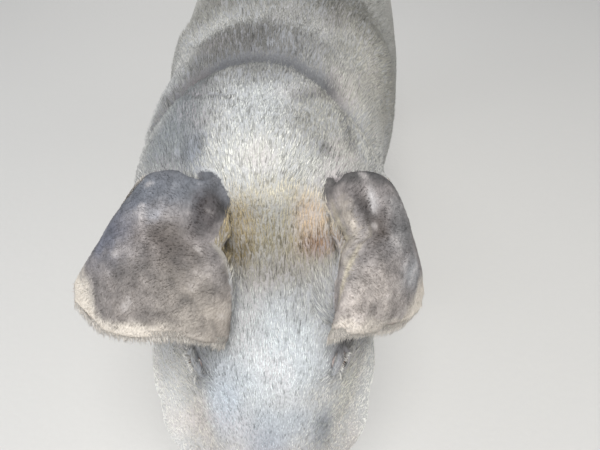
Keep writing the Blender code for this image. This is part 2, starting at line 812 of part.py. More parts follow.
def closed_band(rings):
    """A closed ring-shaped mesh through rings of points that come round to the first."""
    many, round_ = len(rings), len(rings[0])
    points = [tuple(p) for ring in rings for p in ring]
    faces = []
    for i in range(many):
        for j in range(round_):
            k, n = (j + 1) % round_, (i + 1) % many
            faces.append((i * round_ + j, i * round_ + k, n * round_ + k, n * round_ + j))
    mesh = bpy.data.meshes.new("band")
    mesh.from_pydata(points, [], faces)
    facing_out(mesh)
    return mesh


def tube(path, radii, count):
    """A round tube along a path of points."""
    path = [Vector(p) for p in path]
    rings = []
    side = None
    for i, point in enumerate(path):
        ahead = (path[min(i + 1, len(path) - 1)] - path[max(i - 1, 0)]).normalized()
        if side is None:
            side = ahead.orthogonal().normalized()
        side = (side - ahead * side.dot(ahead)).normalized()
        other = ahead.cross(side)
        ring = []
        for j in range(count):
            a = j / count * 2 * math.pi
            ring.append(point + (side * math.cos(a) + other * math.sin(a)) * radii[i])
        rings.append([tuple(p) for p in ring])
    return loft(rings)


def mouth_grooves(tree):
    """Cutters for the line between the lips: one along each side, and one across under the snout."""
    keys = np.array(MOUTH)
    t = np.linspace(keys[0, 0], keys[-1, 0], 12)
    h = eased(keys[:, 0], keys[:, 1], t)
    made = []
    for side in (1, -1):
        path = [on_head(tree, side, a, b)[0] for a, b in zip(t, h)]
        radii = [0.0012 + 0.0032 * min(1, i / 3) for i in range(len(path))]
        made.append(tube(path, radii, 6))
    made.append(headed(ball((0, 0, 0), LIP_RADII, None, 16, 8), 1, *LIP))
    return made


def headed(mesh, side, t, x, h):
    """Sets a mesh made about the origin at a place on the turned head: x out, y ahead, z up."""
    frame = Matrix(head_axes(side)).transposed().to_4x4()
    mesh.transform(Matrix.Translation(head_turn() @ Vector(head_point(t, x, h))) @ frame)
    facing_out(mesh)
    return mesh


def nostril(side):
    t, x, h = NOSTRIL
    return headed(ball((0, 0, 0), NOSTRIL_RADII, None, 14, 8), side, t, side * x, h)


def ear_sheet(side):
    """Points of the ear's middle surface, on a grid."""
    shape = EARS[side]
    root = Vector(shape["root"])
    bend, tip = root + Vector(shape["bend"]), root + Vector(shape["tip"])
    across0, across1 = Vector(shape["base_across"]), Vector(shape["tip_across"])
    u = np.linspace(0, 1, EAR_LENGTH_GRID + 1)
    front, rear = eased(EAR_KEYS, shape["front"], u), eased(EAR_KEYS, shape["rear"], u)
    arch = eased(EAR_KEYS, EAR_ARCH, u) * shape["arch"]
    v = np.linspace(-1, 1, EAR_WIDTH_GRID + 1)
    points = np.empty((len(u), len(v), 3))
    for i, a in enumerate(u):
        spine = root * (1 - a) ** 2 + bend * 2 * a * (1 - a) + tip * a * a
        along = ((bend - root) * (1 - a) + (tip - bend) * a).normalized()
        across = across0.lerp(across1, a)
        across = (across - along * across.dot(along)).normalized()
        over = across.cross(along).normalized() * side
        ripple = shape["ripple"] * math.sin(a * 5.2 + 0.6)
        for j, b in enumerate(v):
            drop = arch[i] * b * b + ripple * b * abs(b) * a + EAR_ROOT_DROP * max(b, 0) * (1 - a) ** 4
            bow = 0.020 * b * a * (1 - a) - shape["lobe"] * max(b, 0) ** 0.6 * (a + 0.12) * (1 - a) ** 3
            half = front[i] if b > 0 else rear[i]
            points[i, j] = spine + across * half * b - over * drop + along * bow
    return points


def sheet_normals(points, side):
    du, dv = np.gradient(points, axis=0), np.gradient(points, axis=1)
    normal = np.cross(du, dv) * side
    return normal / np.linalg.norm(normal, axis=2, keepdims=True)


def ear(side):
    """One ear as a closed leaf, thick at the root and thin at the rim."""
    points = ear_sheet(side)
    rows, columns = points.shape[:2]
    normal = sheet_normals(points, side)
    u = np.linspace(0, 1, rows)[:, None]
    v = np.abs(np.linspace(-1, 1, columns))[None, :]
    thick = EAR_MID_THICKNESS + (EAR_ROOT_THICKNESS - EAR_MID_THICKNESS) * np.clip(1 - u * 3, 0, 1)
    edge = np.maximum(v**3, np.clip((u - 0.75) / 0.25, 0, 1))
    half = (thick + (EAR_RIM_THICKNESS - thick) * edge)[..., None] / 2
    top, under = points + normal * half, points - normal * half
    flat = np.concatenate([top.reshape(-1, 3), under.reshape(-1, 3)])
    below = rows * columns
    faces = []
    for i in range(rows - 1):
        for j in range(columns - 1):
            a, b = i * columns + j, i * columns + j + 1
            c, d = a + columns, b + columns
            cuts = ((a, b, d), (a, d, c)) if (i + j) % 2 else ((a, b, c), (b, d, c))
            for cut in cuts:
                faces.append(cut)
                faces.append(tuple(below + k for k in reversed(cut)))
    edge_loop = list(range(columns))
    edge_loop += [i * columns + columns - 1 for i in range(1, rows)]
    edge_loop += [(rows - 1) * columns + j for j in range(columns - 2, -1, -1)]
    edge_loop += [i * columns for i in range(rows - 2, 0, -1)]
    for k, a in enumerate(edge_loop):
        b = edge_loop[(k + 1) % len(edge_loop)]
        faces.append((b, a, a + below))
        faces.append((b, a + below, b + below))
    mesh = bpy.data.meshes.new("ear")
    mesh.from_pydata(flat.tolist(), [], faces)
    facing_out(mesh)
    mesh.transform(head_turn())
    return mesh


def claw(side):
    """One claw, its cleft side flat-ish and its toe pointed. Side is where its outer wall is."""
    rings = []
    for z, width, length, y0 in CLAW:
        turn = np.arange(CLAW_SIDES) / CLAW_SIDES * 2 * math.pi
        c, s = np.cos(turn), np.sin(turn)
        toe = np.clip(-s, 0, 1)
        x = width * np.sign(c) * np.abs(c) ** 0.85 * (1 - 0.42 * toe**1.6)
        lean = -side * 0.0045 * toe
        y = length * np.sign(s) * np.abs(s) ** 0.9 + y0
        rings.append(np.stack([x + lean, y, np.full(CLAW_SIDES, z)], axis=1))
    return loft(rings)


def dewclaw(foot_x, foot_y, side):
    """A small claw behind the foot, slanting out, back and down."""
    start = Vector((foot_x + side * 0.018, foot_y + 0.020, 0.092))
    way = Vector((side * 0.35, 0.80, -0.62)).normalized()
    path = [start + way * d for d in (0.0, 0.018, 0.034, 0.042)]
    return tube(path, (0.0085, 0.0100, 0.0072, 0.0035), 7)


def teats(tree):
    """Two rows of teats under the belly, as one mesh of separate cones."""
    bm = bmesh.new()
    for side in (1, -1):
        for i in range(TEATS_A_SIDE):
            y = FIRST_TEAT + i * TEAT_STEP
            x = side * (TEAT_LINE + 0.010 * math.sin(i * 1.3))
            point, _, _, _ = tree.ray_cast(Vector((x, y, 0.05)), Vector((0, 0, 1)))
            path = [point + Vector((side * 0.10 * d, 0, d)) for d in (0.010, 0.0, -0.012, -0.022)]
            bm.from_mesh(tube(path, (0.0115, 0.0100, 0.0070, 0.0040), 7))
    mesh = bpy.data.meshes.new("teats")
    bm.to_mesh(mesh)
    bm.free()
    return mesh


def tail():
    keys = np.array(TAIL)
    at = np.linspace(0, len(keys) - 1, 26)
    columns = [eased(np.arange(len(keys)), keys[:, k], at) for k in range(4)]
    path = [Vector(p) for p in zip(*columns[:3])]
    return tube(path, list(columns[3]), 10)


def steps_of(pair, side):
    """How far forward that foot is set."""
    if pair == "fore":
        return STEP if side > 0 else -STEP / 2
    return -STEP / 2 if side > 0 else STEP


def feet(made, nodes, helpers):
    """Claws and dewclaws of all four feet."""
    for pair, foot in (("fore", FORE_FOOT), ("hind", HIND_FOOT)):
        for side, word in SIDES:
            x, y = side * foot[0], foot[1] - steps_of(pair, side)
            leg = made[f"{pair}leg_{word}"]
            for half, place in ((1, "outer"), (-1, "inner")):
                across = side * half
                mesh = claw(across)
                mesh.transform(Matrix.Translation((x + across * (CLEFT / 2 + 0.0165), y, 0)))
                name = f"claw_{pair}_{word}_{place}"
                made[name] = add_object(name, mesh, nodes, "claw")
                name = f"dewclaw_{pair}_{word}_{place}"
                small = add_object(name, dewclaw(x, y, across), nodes, "claw")
                boolean(small, [swollen(leg)], "DIFFERENCE", helpers)
                made[name] = largest_body(small)


def placed(objects):
    """Moves everything so that the floor below the middle of the whole is the origin."""
    for obj in objects:
        obj.data.transform(Matrix.Translation((-MIDDLE[0], -MIDDLE[1], 0)))


def finish(made):
    for name, obj in made.items():
        if name.startswith("claw") or name.startswith("dewclaw"):
            kind = "claw"
        elif name.startswith("eye"):
            kind = "eye"
        elif name.startswith("ear"):
            kind = "ear"
        else:
            kind = "hide"
        obj.data.materials.clear()
        obj.data.materials.append(material(kind))
        for face in obj.data.polygons:
            face.material_index = 0
            face.use_smooth = True


def main():
    clear_scene()
    nodes = bpy.data.collections.new("sow")
    helpers = bpy.data.collections.new("cutters")
    helpers.hide_render = True
    for collection in (nodes, helpers):
        bpy.context.scene.collection.children.link(collection)
    body = flesh(helpers)
    tree = surface_tree(body.data)
    union_all(body, back_locks(tree), helpers)
    made = part_body(body, nodes, helpers)
    bpy.data.objects.remove(body)
    head = made["head"]
    for side, word in SIDES:
        centre, normal = eye_seat(tree, side)
        boolean(head, [lid_ring(centre, normal, side)], "UNION", helpers)
        boolean(head, [ball(centre, (EYE_RADIUS + GAP,) * 3, None, 14, 10)], "DIFFERENCE", helpers)
        made[f"eye_{word}"] = add_object(f"eye_{word}", ball(centre, (EYE_RADIUS,) * 3, None, 14, 10), nodes)
    boolean(head, mouth_grooves(tree) + [nostril(1), nostril(-1)], "DIFFERENCE", helpers)
    largest_body(head)
    for side, word in SIDES:
        name = f"ear_{word}"
        made[name] = union_all(add_object(name, ear(side), nodes), rim_locks(side), helpers)
        boolean(made[name], [swollen(head), swollen(made["neck"])], "DIFFERENCE", helpers)
        largest_body(made[name])
    boolean(made["torso"], [teats(tree)], "UNION", helpers)
    largest_body(made["torso"])
    made["tail"] = union_all(add_object("tail", tail(), nodes), tassel_locks(), helpers)
    boolean(made["tail"], [swollen(made["torso"])], "DIFFERENCE", helpers)
    largest_body(made["tail"])
    feet(made, nodes, helpers)
    finish(made)
    placed(made.values())


main()
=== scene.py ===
"""Dressed life-size model of a lop-eared domestic sow: one skin, short bristle, eyes and claws.

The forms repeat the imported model's own sizes, in metres. They are built on the animal's own
middle line and moved at the end, so that the floor below her middle is the origin.
"""

import logging
import math
from collections.abc import Iterable, Sequence
from dataclasses import dataclass, field
from enum import IntEnum

import bmesh
import bpy
import numpy as np
from mathutils import Matrix, Vector, noise
from mathutils.bvhtree import BVHTree


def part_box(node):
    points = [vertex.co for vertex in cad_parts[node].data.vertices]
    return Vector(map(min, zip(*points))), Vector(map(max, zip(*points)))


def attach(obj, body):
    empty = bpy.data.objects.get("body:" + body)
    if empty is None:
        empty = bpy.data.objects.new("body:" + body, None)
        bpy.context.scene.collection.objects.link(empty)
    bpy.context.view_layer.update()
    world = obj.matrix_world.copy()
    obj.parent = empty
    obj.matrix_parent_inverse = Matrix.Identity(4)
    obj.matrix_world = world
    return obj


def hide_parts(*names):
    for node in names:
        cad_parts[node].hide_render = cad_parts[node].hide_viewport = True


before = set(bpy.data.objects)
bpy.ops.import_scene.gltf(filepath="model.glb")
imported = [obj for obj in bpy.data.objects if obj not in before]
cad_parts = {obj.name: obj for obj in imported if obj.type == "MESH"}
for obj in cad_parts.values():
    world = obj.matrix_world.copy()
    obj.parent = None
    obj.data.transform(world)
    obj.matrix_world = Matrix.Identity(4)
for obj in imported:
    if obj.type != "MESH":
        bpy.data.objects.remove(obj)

LOG = logging.getLogger("sow")
Array = np.ndarray
Mesh = bpy.types.Mesh
Thing = bpy.types.Object
Material = bpy.types.Material
Node = bpy.types.Node
Nodes = bpy.types.Nodes
Links = bpy.types.NodeLinks
Socket = bpy.types.NodeSocket
Triple = tuple[float, float, float]
Rows = tuple[tuple[float, ...], ...]
BODY = "root"
MIDDLE = Vector((-0.0105, 0.0510, 0.0))
SIDES = ((1, "left"), (-1, "right"))


class Region(IntEnum):
    """The parts of the coat, which differ in length and lie."""

    HEAD = 0
    EAR = 1
    NECK = 2
    TRUNK = 3
    LEG = 4
    TAIL = 5


def eased(keys: Sequence[float], values: Sequence[float], at: Sequence[float]) -> Array:
    """Runs a cubic curve through values that never swings past them.

    Args:
        keys: Rising places of the values.
        values: The value at each key.
        at: Where to read the curve.

    Returns:
        The curve's value at each place asked for.
    """
    keys, values, at = (np.asarray(a, float) for a in (keys, values, at))
    step = np.diff(keys)
    slope = np.diff(values) / step
    tangent = np.concatenate([slope[:1], (slope[1:] + slope[:-1]) / 2, slope[-1:]])
    turning = slope[1:] * slope[:-1] <= 0
    tangent[1:-1][turning] = 0
    for i, rise in enumerate(slope):
        if rise == 0:
            tangent[i] = tangent[i + 1] = 0
            continue
        a, b = tangent[i] / rise, tangent[i + 1] / rise
        reach = math.hypot(a, b)
        if reach > 3:
            tangent[i], tangent[i + 1] = 3 * a / reach * rise, 3 * b / reach * rise
    place = np.clip(np.searchsorted(keys, at) - 1, 0, len(step) - 1)
    h = step[place]
    u = (at - keys[place]) / h
    return (
        values[place] * (1 + 2 * u) * (1 - u) ** 2
        + tangent[place] * h * u * (1 - u) ** 2
        + values[place + 1] * u * u * (3 - 2 * u)
        + tangent[place + 1] * h * u * u * (u - 1)
    )


def eased_rows(table: Sequence[Sequence[float]], count: int) -> Array:
    """Reads a table's columns at evenly spaced places of its first column.

    Args:
        table: Rows of numbers, sorted by the first.
        count: How many rows to give back.

    Returns:
        An array of that many rows.
    """
    columns = np.array(table, float).T
    if columns[0][0] > columns[0][-1]:
        columns = columns[:, ::-1]
    at = np.linspace(columns[0][0], columns[0][-1], count)
    return np.stack([at] + [eased(columns[0], c, at) for c in columns[1:]], axis=1)


def section(
    width: float, rise: float, drop: float, pear: float, count: int, power: float = 2.25
) -> tuple[Array, Array]:
    """Gives the points round a cross-section.

    Args:
        width: Half width.
        rise: Height above the axis.
        drop: Depth below the axis.
        pear: How much wider it is below than above.
        count: Number of points.
        power: How square it is.

    Returns:
        The distances to the side, and the heights.
    """
    turn = (np.arange(count) + 0.5) / count * 2 * math.pi
    c, s = np.cos(turn), np.sin(turn)
    up = np.sign(s) * np.abs(s) ** (2 / power)
    x = width * np.sign(c) * np.abs(c) ** (2 / power) * (1 - pear * up)
    return x, np.where(up > 0, rise, drop) * up


def mesh_of(points: Array | Iterable, faces: Iterable, name: str = "form") -> Mesh:
    """Makes a mesh with its faces turned outwards.

    Args:
        points: Corner places.
        faces: Corner numbers of each face.
        name: The mesh's name.

    Returns:
        The mesh.
    """
    mesh = bpy.data.meshes.new(name)
    mesh.from_pydata([tuple(map(float, p)) for p in points], [], list(faces))
    face_out(mesh)
    return mesh


def face_out(mesh: Mesh) -> None:
    """Turns all faces of a closed mesh outwards."""
    bm = bmesh.new()
    bm.from_mesh(mesh)
    bmesh.ops.recalc_face_normals(bm, faces=bm.faces)
    bm.to_mesh(mesh)
    bm.free()


def ring_faces(many: int, around: int, closed: bool = False) -> list[tuple[int, ...]]:
    """Gives the quads between rings of points.

    Args:
        many: Number of rings.
        around: Points in each ring.
        closed: Whether the last ring meets the first.

    Returns:
        Corner numbers of each quad.
    """
    faces = []
    for i in range(many if closed else many - 1):
        n = (i + 1) % many
        for j in range(around):
            k = (j + 1) % around
            faces.append((i * around + j, i * around + k, n * around + k, n * around + j))
    return faces


def loft(rings: Array | Sequence) -> Mesh:
    """Skins rings of equal count and closes both ends with fans.

    Args:
        rings: Points by ring.

    Returns:
        The closed mesh.
    """
    rings = np.asarray(rings, float)
    many, around = rings.shape[:2]
    points = np.concatenate([rings.reshape(-1, 3), rings[[0, -1]].mean(axis=1)])
    faces = ring_faces(many, around)
    first, last = many * around, many * around + 1
    for j in range(around):
        k = (j + 1) % around
        faces.append((first, k, j))
        faces.append((last, (many - 1) * around + j, (many - 1) * around + k))
    return mesh_of(points, faces)


def ball(
    centre: Sequence[float], radii: Sequence[float], turn: Matrix | None = None, segments: int = 32
) -> Mesh:
    """Makes an ellipsoid.

    Args:
        centre: Its middle.
        radii: Half sizes along its own axes.
        turn: A rotation, or none.
        segments: Points round it.

    Returns:
        The closed mesh.
    """
    bm = bmesh.new()
    rotation = turn.to_4x4() if turn else Matrix.Identity(4)
    place = Matrix.Translation(Vector(centre)) @ rotation @ Matrix.Diagonal((*radii, 1))
    rings = segments * 5 // 8
    bmesh.ops.create_uvsphere(bm, u_segments=segments, v_segments=rings, radius=1, matrix=place)
    mesh = bpy.data.meshes.new("ball")
    bm.to_mesh(mesh)
    bm.free()
    return mesh


def tube(path: Sequence[Vector], radii: Sequence[float], around: int) -> Mesh:
    """Makes a round tube along a path.

    Args:
        path: Points along its middle.
        radii: The radius at each.
        around: Points round it.

    Returns:
        The closed mesh.
    """
    rings = []
    side = None
    for i, point in enumerate(path):
        ahead = (path[min(i + 1, len(path) - 1)] - path[max(i - 1, 0)]).normalized()
        side = side or ahead.orthogonal()
        side = (side - ahead * side.dot(ahead)).normalized()
        other = ahead.cross(side)
        turns = (j / around * 2 * math.pi for j in range(around))
        spokes = (side * math.cos(a) + other * math.sin(a) for a in turns)
        rings.append([tuple(point + spoke * radii[i]) for spoke in spokes])
    return loft(rings)


def joined(name: str, meshes: Iterable[Mesh]) -> Thing:
    """Puts meshes together as loose bodies of one object, and removes them.

    Args:
        name: The object's name.
        meshes: What it is made of.

    Returns:
        The object, linked to the scene.
    """
    bm = bmesh.new()
    for mesh in meshes:
        bm.from_mesh(mesh)
        bpy.data.meshes.remove(mesh)
    whole = bpy.data.meshes.new(name)
    bm.to_mesh(whole)
    bm.free()
    return linked(name, whole)


def linked(name: str, mesh: Mesh) -> Thing:
    """Makes an object of a mesh and links it to the scene.

    Args:
        name: The object's name.
        mesh: Its shape.

    Returns:
        The object.
    """
    obj = bpy.data.objects.new(name, mesh)
    bpy.context.scene.collection.objects.link(obj)
    return obj


def settle(obj: Thing) -> Thing:
    """Replaces an object's mesh by what its modifiers make of it.

    Args:
        obj: The object.

    Returns:
        The same object.
    """
    graph = bpy.context.evaluated_depsgraph_get()
    made = bpy.data.meshes.new_from_object(obj.evaluated_get(graph))
    old = obj.data
    obj.modifiers.clear()
    obj.data = made
    bpy.data.meshes.remove(old)
    return obj


def boolean(target: Thing, meshes: Iterable[Mesh], operation: str) -> None:
    """Joins or cuts an object with meshes that don't touch each other.

    Args:
        target: The object that changes.
        meshes: Closed meshes, which are used up.
        operation: UNION or DIFFERENCE.
    """
    tool = joined("tool", meshes)
    step = target.modifiers.new(operation, "BOOLEAN")
    step.operation = operation
    step.solver = "MANIFOLD"
    step.object = tool
    settle(target)
    bpy.data.objects.remove(tool)


def read_points(mesh: Mesh, what: str = "co") -> Array:
    """Reads the places or normals of a mesh's vertices.

    Args:
        mesh: The mesh.
        what: Either co or normal.

    Returns:
        An array with one row for each vertex.
    """
    found = np.empty(len(mesh.vertices) * 3, np.float32)
    mesh.vertices.foreach_get(what, found)
    return found.reshape(-1, 3).astype(float)


def surface(mesh: Mesh) -> BVHTree:
    """Sets up a search in a mesh's faces."""
    return BVHTree.FromPolygons([v.co for v in mesh.vertices], [p.vertices[:] for p in mesh.polygons])


def shade_smooth(mesh: Mesh) -> None:
    """Rounds the shading of all faces."""
    mesh.polygons.foreach_set("use_smooth", np.ones(len(mesh.polygons), bool))


def write_points(mesh: Mesh, points: Array) -> None:
    """Moves a mesh's vertices."""
    mesh.vertices.foreach_set("co", points.astype(np.float32).ravel())
    mesh.update()


def edge_ends(mesh: Mesh) -> Array:
    """Gives each edge's ends, once each way round."""
    ends = np.empty(len(mesh.edges) * 2, np.int32)
    mesh.edges.foreach_get("vertices", ends)
    ends = ends.reshape(-1, 2)
    return np.concatenate([ends, ends[:, ::-1]])


def pull(points: Array, ends: Array, share: float) -> Array:
    """Measures how far each point lies from the middle of its neighbours.

    Args:
        points: The points.
        ends: Pairs of neighbours.
        share: What the result is multiplied by.

    Returns:
        A step for each point.
    """
    count = np.maximum(np.bincount(ends[:, 0], minlength=len(points)), 1)
    step = np.empty_like(points)
    for axis in range(3):
        total = np.bincount(ends[:, 0], weights=points[ends[:, 1], axis], minlength=len(points))
        step[:, axis] = total / count - points[:, axis]
    return step * share


def valley(distance: Array, width: float) -> Array:
    """Gives a smooth bell that is 1 at no distance."""
    return np.exp(-((distance / width) ** 2))


def ramp(value: Array, low: float, high: float) -> Array:
    """Rises smoothly from 0 at low to 1 at high."""
    u = np.clip((value - low) / (high - low), 0, 1)
    return u * u * (3 - 2 * u)


def unit(vectors: Array) -> Array:
    """Gives each row its direction only."""
    return vectors / np.maximum(np.linalg.norm(vectors, axis=1, keepdims=True), 1e-12)


def cloudy(points: Array, scale: float, shift: float = 0.0) -> Array:
    """Reads smooth seeded noise.

    Args:
        points: Where to read it.
        scale: Lumps in a metre.
        shift: Moves the pattern.

    Returns:
        About -1 to 1 for each point.
    """
    read = noise.noise
    return np.array([read((x * scale + shift, y * scale, z * scale)) for x, y, z in points.tolist()])


@dataclass(frozen=True)
class HeadFrame:
    """Measures along the head, which is pitched down and turned a little to her left."""

    pitch: float = math.radians(30)
    turn: float = math.radians(4.5)
    pivot: float = -0.360
    back: tuple[float, float] = (-0.400, 0.640)

    def point(self, t: Array | float, x: Array | float, h: Array | float) -> Array:
        """Gives a point before the head's turn.

        Args:
            t: Distance along the head.
            x: To her left.
            h: Up from the head's axis.

        Returns:
            The point or points.
        """
        c, s = math.cos(self.pitch), math.sin(self.pitch)
        t, x, h = np.broadcast_arrays(*(np.asarray(a, float) for a in (t, x, h)))
        return np.stack([x, self.back[0] - t * c - h * s, self.back[1] - t * s + h * c], axis=-1)

    def matrix(self) -> Matrix:
        """Gives the head's turn about the neck."""
        pivot = Vector((0, self.pivot, 0))
        return Matrix.Translation(pivot) @ Matrix.Rotation(self.turn, 4, "Z") @ Matrix.Translation(-pivot)

    def turned(self, points: Array) -> Array:
        """Takes points along in the head's turn."""
        turn = np.array(self.matrix())
        return points @ turn[:3, :3].T + turn[:3, 3]

    def axes(self, side: int) -> tuple[Vector, Vector, Vector]:
        """Gives unit vectors out to a side, ahead, and up, after the turn."""
        c, s = math.cos(self.pitch), math.sin(self.pitch)
        turn = self.matrix().to_3x3()
        return turn @ Vector((side, 0, 0)), turn @ Vector((0, -c, -s)), turn @ Vector((0, -s, c))

    def measures(self, points: Array) -> tuple[Array, Array, Array]:
        """Reads points in the head's own measures.

        Args:
            points: Places after the turn.

        Returns:
            Distances along, to the left and up.
        """
        back = np.array(self.matrix().inverted())
        p = points @ back[:3, :3].T + back[:3, 3]
        c, s = math.cos(self.pitch), math.sin(self.pitch)
        dy, dz = p[:, 1] - self.back[0], p[:, 2] - self.back[1]
        return -dy * c - dz * s, p[:, 0], -dy * s + dz * c

    def met(
        self, tree: BVHTree, side: int, t: float, h: float, toward: Sequence[float] = (1, 0, 0)
    ) -> tuple[Vector, Vector]:
        """Finds the surface on the way in to the head's axis.

        Args:
            tree: The surface.
            side: 1 for her left.
            t: Distance along the head.
            h: Up from the axis.
            toward: The way from the axis: out, ahead, up.

        Returns:
            The point and the normal there.
        """
        out, ahead, up = self.axes(side)
        way = (out * toward[0] + ahead * toward[1] + up * toward[2]).normalized()
        start = self.matrix() @ Vector(self.point(t, 0, h)) + way * 0.5
        point, normal, _, _ = tree.ray_cast(start, -way)
        return point, normal

    def set_on(self, mesh: Mesh, side: int, t: float, x: float, h: float) -> Mesh:
        """Moves a mesh made about the origin to a place on the head.

        Args:
            mesh: Its x is out, y ahead and z up.
            side: 1 for her left.
            t: Distance along the head.
            x: To her left.
            h: Up from the axis.

        Returns:
            The same mesh.
        """
        place = Matrix.Translation(self.matrix() @ Vector(self.point(t, x, h)))
        mesh.transform(place @ Matrix(self.axes(side)).transposed().to_4x4())
        face_out(mesh)
        return mesh


HEAD = HeadFrame()


@dataclass(frozen=True)
class Ear:
    """One lop ear: a leaf that leaves the head, bends over and hangs."""

    side: int
    root: Triple
    bend: Triple
    tip: Triple
    base_across: Triple
    tip_across: Triple
    front: tuple[float, ...]
    rear: tuple[float, ...]
    arch: float
    lobe: float
    ripple: float
    # How far its root reaches in over the head, behind its middle
    inset: float
    # Ridges and hollows: length share, width share, reach along and across, height
    folds: Rows
    arches: tuple[float, ...] = (0.010, 0.016, 0.022, 0.018, 0.009, 0.002)
    rows: int = 72
    columns: int = 56
    root_thickness: float = 0.0125
    root_drop: float = 0.024
    mid_thickness: float = 0.0062
    rim_thickness: float = 0.0030
    bow: float = 0.020
    keys: tuple[float, ...] = (0.0, 0.15, 0.40, 0.65, 0.85, 1.0)

    def sheet(self) -> Array:
        """Gives the middle surface before the head's turn, by length and by width."""
        root = Vector(self.root)
        bend, tip = root + Vector(self.bend), root + Vector(self.tip)
        u = np.linspace(0, 1, self.rows)
        front, rear = eased(self.keys, self.front, u), eased(self.keys, self.rear, u)
        arch = eased(self.keys, self.arches, u) * self.arch
        v = np.linspace(-1, 1, self.columns)
        points = np.empty((len(u), len(v), 3))
        for i, a in enumerate(u):
            spine = root * (1 - a) ** 2 + bend * 2 * a * (1 - a) + tip * a * a
            along = ((bend - root) * (1 - a) + (tip - bend) * a).normalized()
            across = Vector(self.base_across).lerp(Vector(self.tip_across), a)
            across = (across - along * across.dot(along)).normalized()
            over = across.cross(along).normalized() * self.side
            ripple = self.ripple * math.sin(a * 5.2 + 0.6)
            for j, b in enumerate(v):
                ahead = max(b, 0)
                drop = arch[i] * b * b + ripple * b * abs(b) * a + self.root_drop * ahead * (1 - a) ** 4
                bow = self.bow * b * a * (1 - a) - self.lobe * ahead**0.6 * (a + 0.12) * (1 - a) ** 3
                half = front[i] if b > 0 else rear[i]
                inward = self.inset * (1 - a) ** 3 * math.exp(-(((b + 0.35) / 0.5) ** 2))
                points[i, j] = spine + across * half * b - over * drop + along * bow
                points[i, j] += np.array((-self.side * inward, 0, 0.25 * inward))
        heights = np.zeros(points.shape[:2])
        for at_u, at_v, reach_u, reach_v, height in self.folds:
            far = np.hypot((u[:, None] - at_u) / reach_u, (v[None, :] - at_v) / reach_v)
            heights += height * valley(far, 1.0)
        return points + self.normals(points) * heights[..., None]

    def normals(self, points: Array) -> Array:
        """Gives the sheet's normals, which face up and out."""
        du, dv = np.gradient(points, axis=0), np.gradient(points, axis=1)
        normal = np.cross(du, dv) * self.side
        return normal / np.linalg.norm(normal, axis=2, keepdims=True)

    def leaf(self) -> Mesh:
        """Makes the ear's closed solid, with soft lumps of gristle and a rim that waves a little."""
        points = self.sheet()
        normal = self.normals(points)
        rows, columns = points.shape[:2]
        u = np.linspace(0, 1, rows)[:, None]
        v = np.linspace(-1, 1, columns)[None, :]
        flat = points.reshape(-1, 3)
        lumps = cloudy(flat, 26, self.side * 3.0).reshape(rows, columns) * 0.0016
        lumps += cloudy(flat, 70, self.side * 5.0).reshape(rows, columns) * 0.0006
        wave = np.sin(u * 17 + self.side) * 0.0022 * np.abs(v) ** 3 * np.clip(u * 3, 0, 1)
        ribs = 0.0011 * np.cos(v * 13 + u * 2.2) * np.clip(u * 4, 0, 1) * (1 - np.abs(v))
        points = points + normal * (lumps + wave)[..., None]
        thicker = self.root_thickness - self.mid_thickness
        thick = self.mid_thickness + thicker * np.clip(1 - u * 3, 0, 1)
        edge = np.maximum(np.abs(v) ** 4, np.clip((u - 0.82) / 0.18, 0, 1))
        half = ((thick + (self.rim_thickness - thick) * edge) / 2)[..., None]
        top, under = points + normal * (half + ribs[..., None]), points - normal * half
        below = rows * columns
        faces = []
        for i in range(rows - 1):
            for j in range(columns - 1):
                a, b = i * columns + j, i * columns + j + 1
                faces.append((a, b, b + columns, a + columns))
                faces.append((below + a + columns, below + b + columns, below + b, below + a))
        loop = list(range(columns)) + [i * columns + columns - 1 for i in range(1, rows)]
        loop += [(rows - 1) * columns + j for j in range(columns - 2, -1, -1)]
        loop += [i * columns for i in range(rows - 2, 0, -1)]
        for k, a in enumerate(loop):
            b = loop[(k + 1) % len(loop)]
            faces.append((b, a, a + below, b + below))
        mesh = mesh_of(np.concatenate([top.reshape(-1, 3), under.reshape(-1, 3)]), faces, "leaf")
        mesh.transform(HEAD.matrix())
        return mesh


EARS = {
    1: Ear(
        side=1,
        root=(0.090, -0.556, 0.728),
        bend=(0.074, 0.010, 0.068),
        tip=(0.140, 0.036, -0.168),
        base_across=(0.02, -0.82, -0.52),
        tip_across=(-0.22, -0.73, -0.62),
        front=(0.064, 0.102, 0.124, 0.108, 0.072, 0.016),
        rear=(0.060, 0.080, 0.080, 0.058, 0.034, 0.012),
        arch=1.0,
        lobe=0.36,
        ripple=0.006,
        inset=0.0,
        folds=(
            (0.06, 0.1, 0.035, 0.9, 0.0060),
            (0.18, -0.3, 0.045, 0.5, -0.0090),
            (0.29, -0.60, 0.035, 0.25, 0.0050),
        ),
    ),
    -1: Ear(
        side=-1,
        root=(-0.054, -0.556, 0.726),
        bend=(-0.100, 0.012, 0.064),
        tip=(-0.224, 0.028, -0.117),
        base_across=(0.04, -0.82, -0.50),
        tip_across=(0.00, -0.75, -0.64),
        front=(0.076, 0.108, 0.123, 0.112, 0.078, 0.020),
        rear=(0.056, 0.080, 0.082, 0.050, 0.022, 0.010),
        arch=0.8,
        lobe=0.43,
        ripple=0.008,
        inset=0.004,
        folds=(
            (0.12, -0.5, 0.050, 0.4, -0.0100),
            (0.30, 0.0, 0.12, 0.35, -0.0060),
            (0.21, -0.35, 0.040, 0.3, 0.0040),
        ),
    ),
}


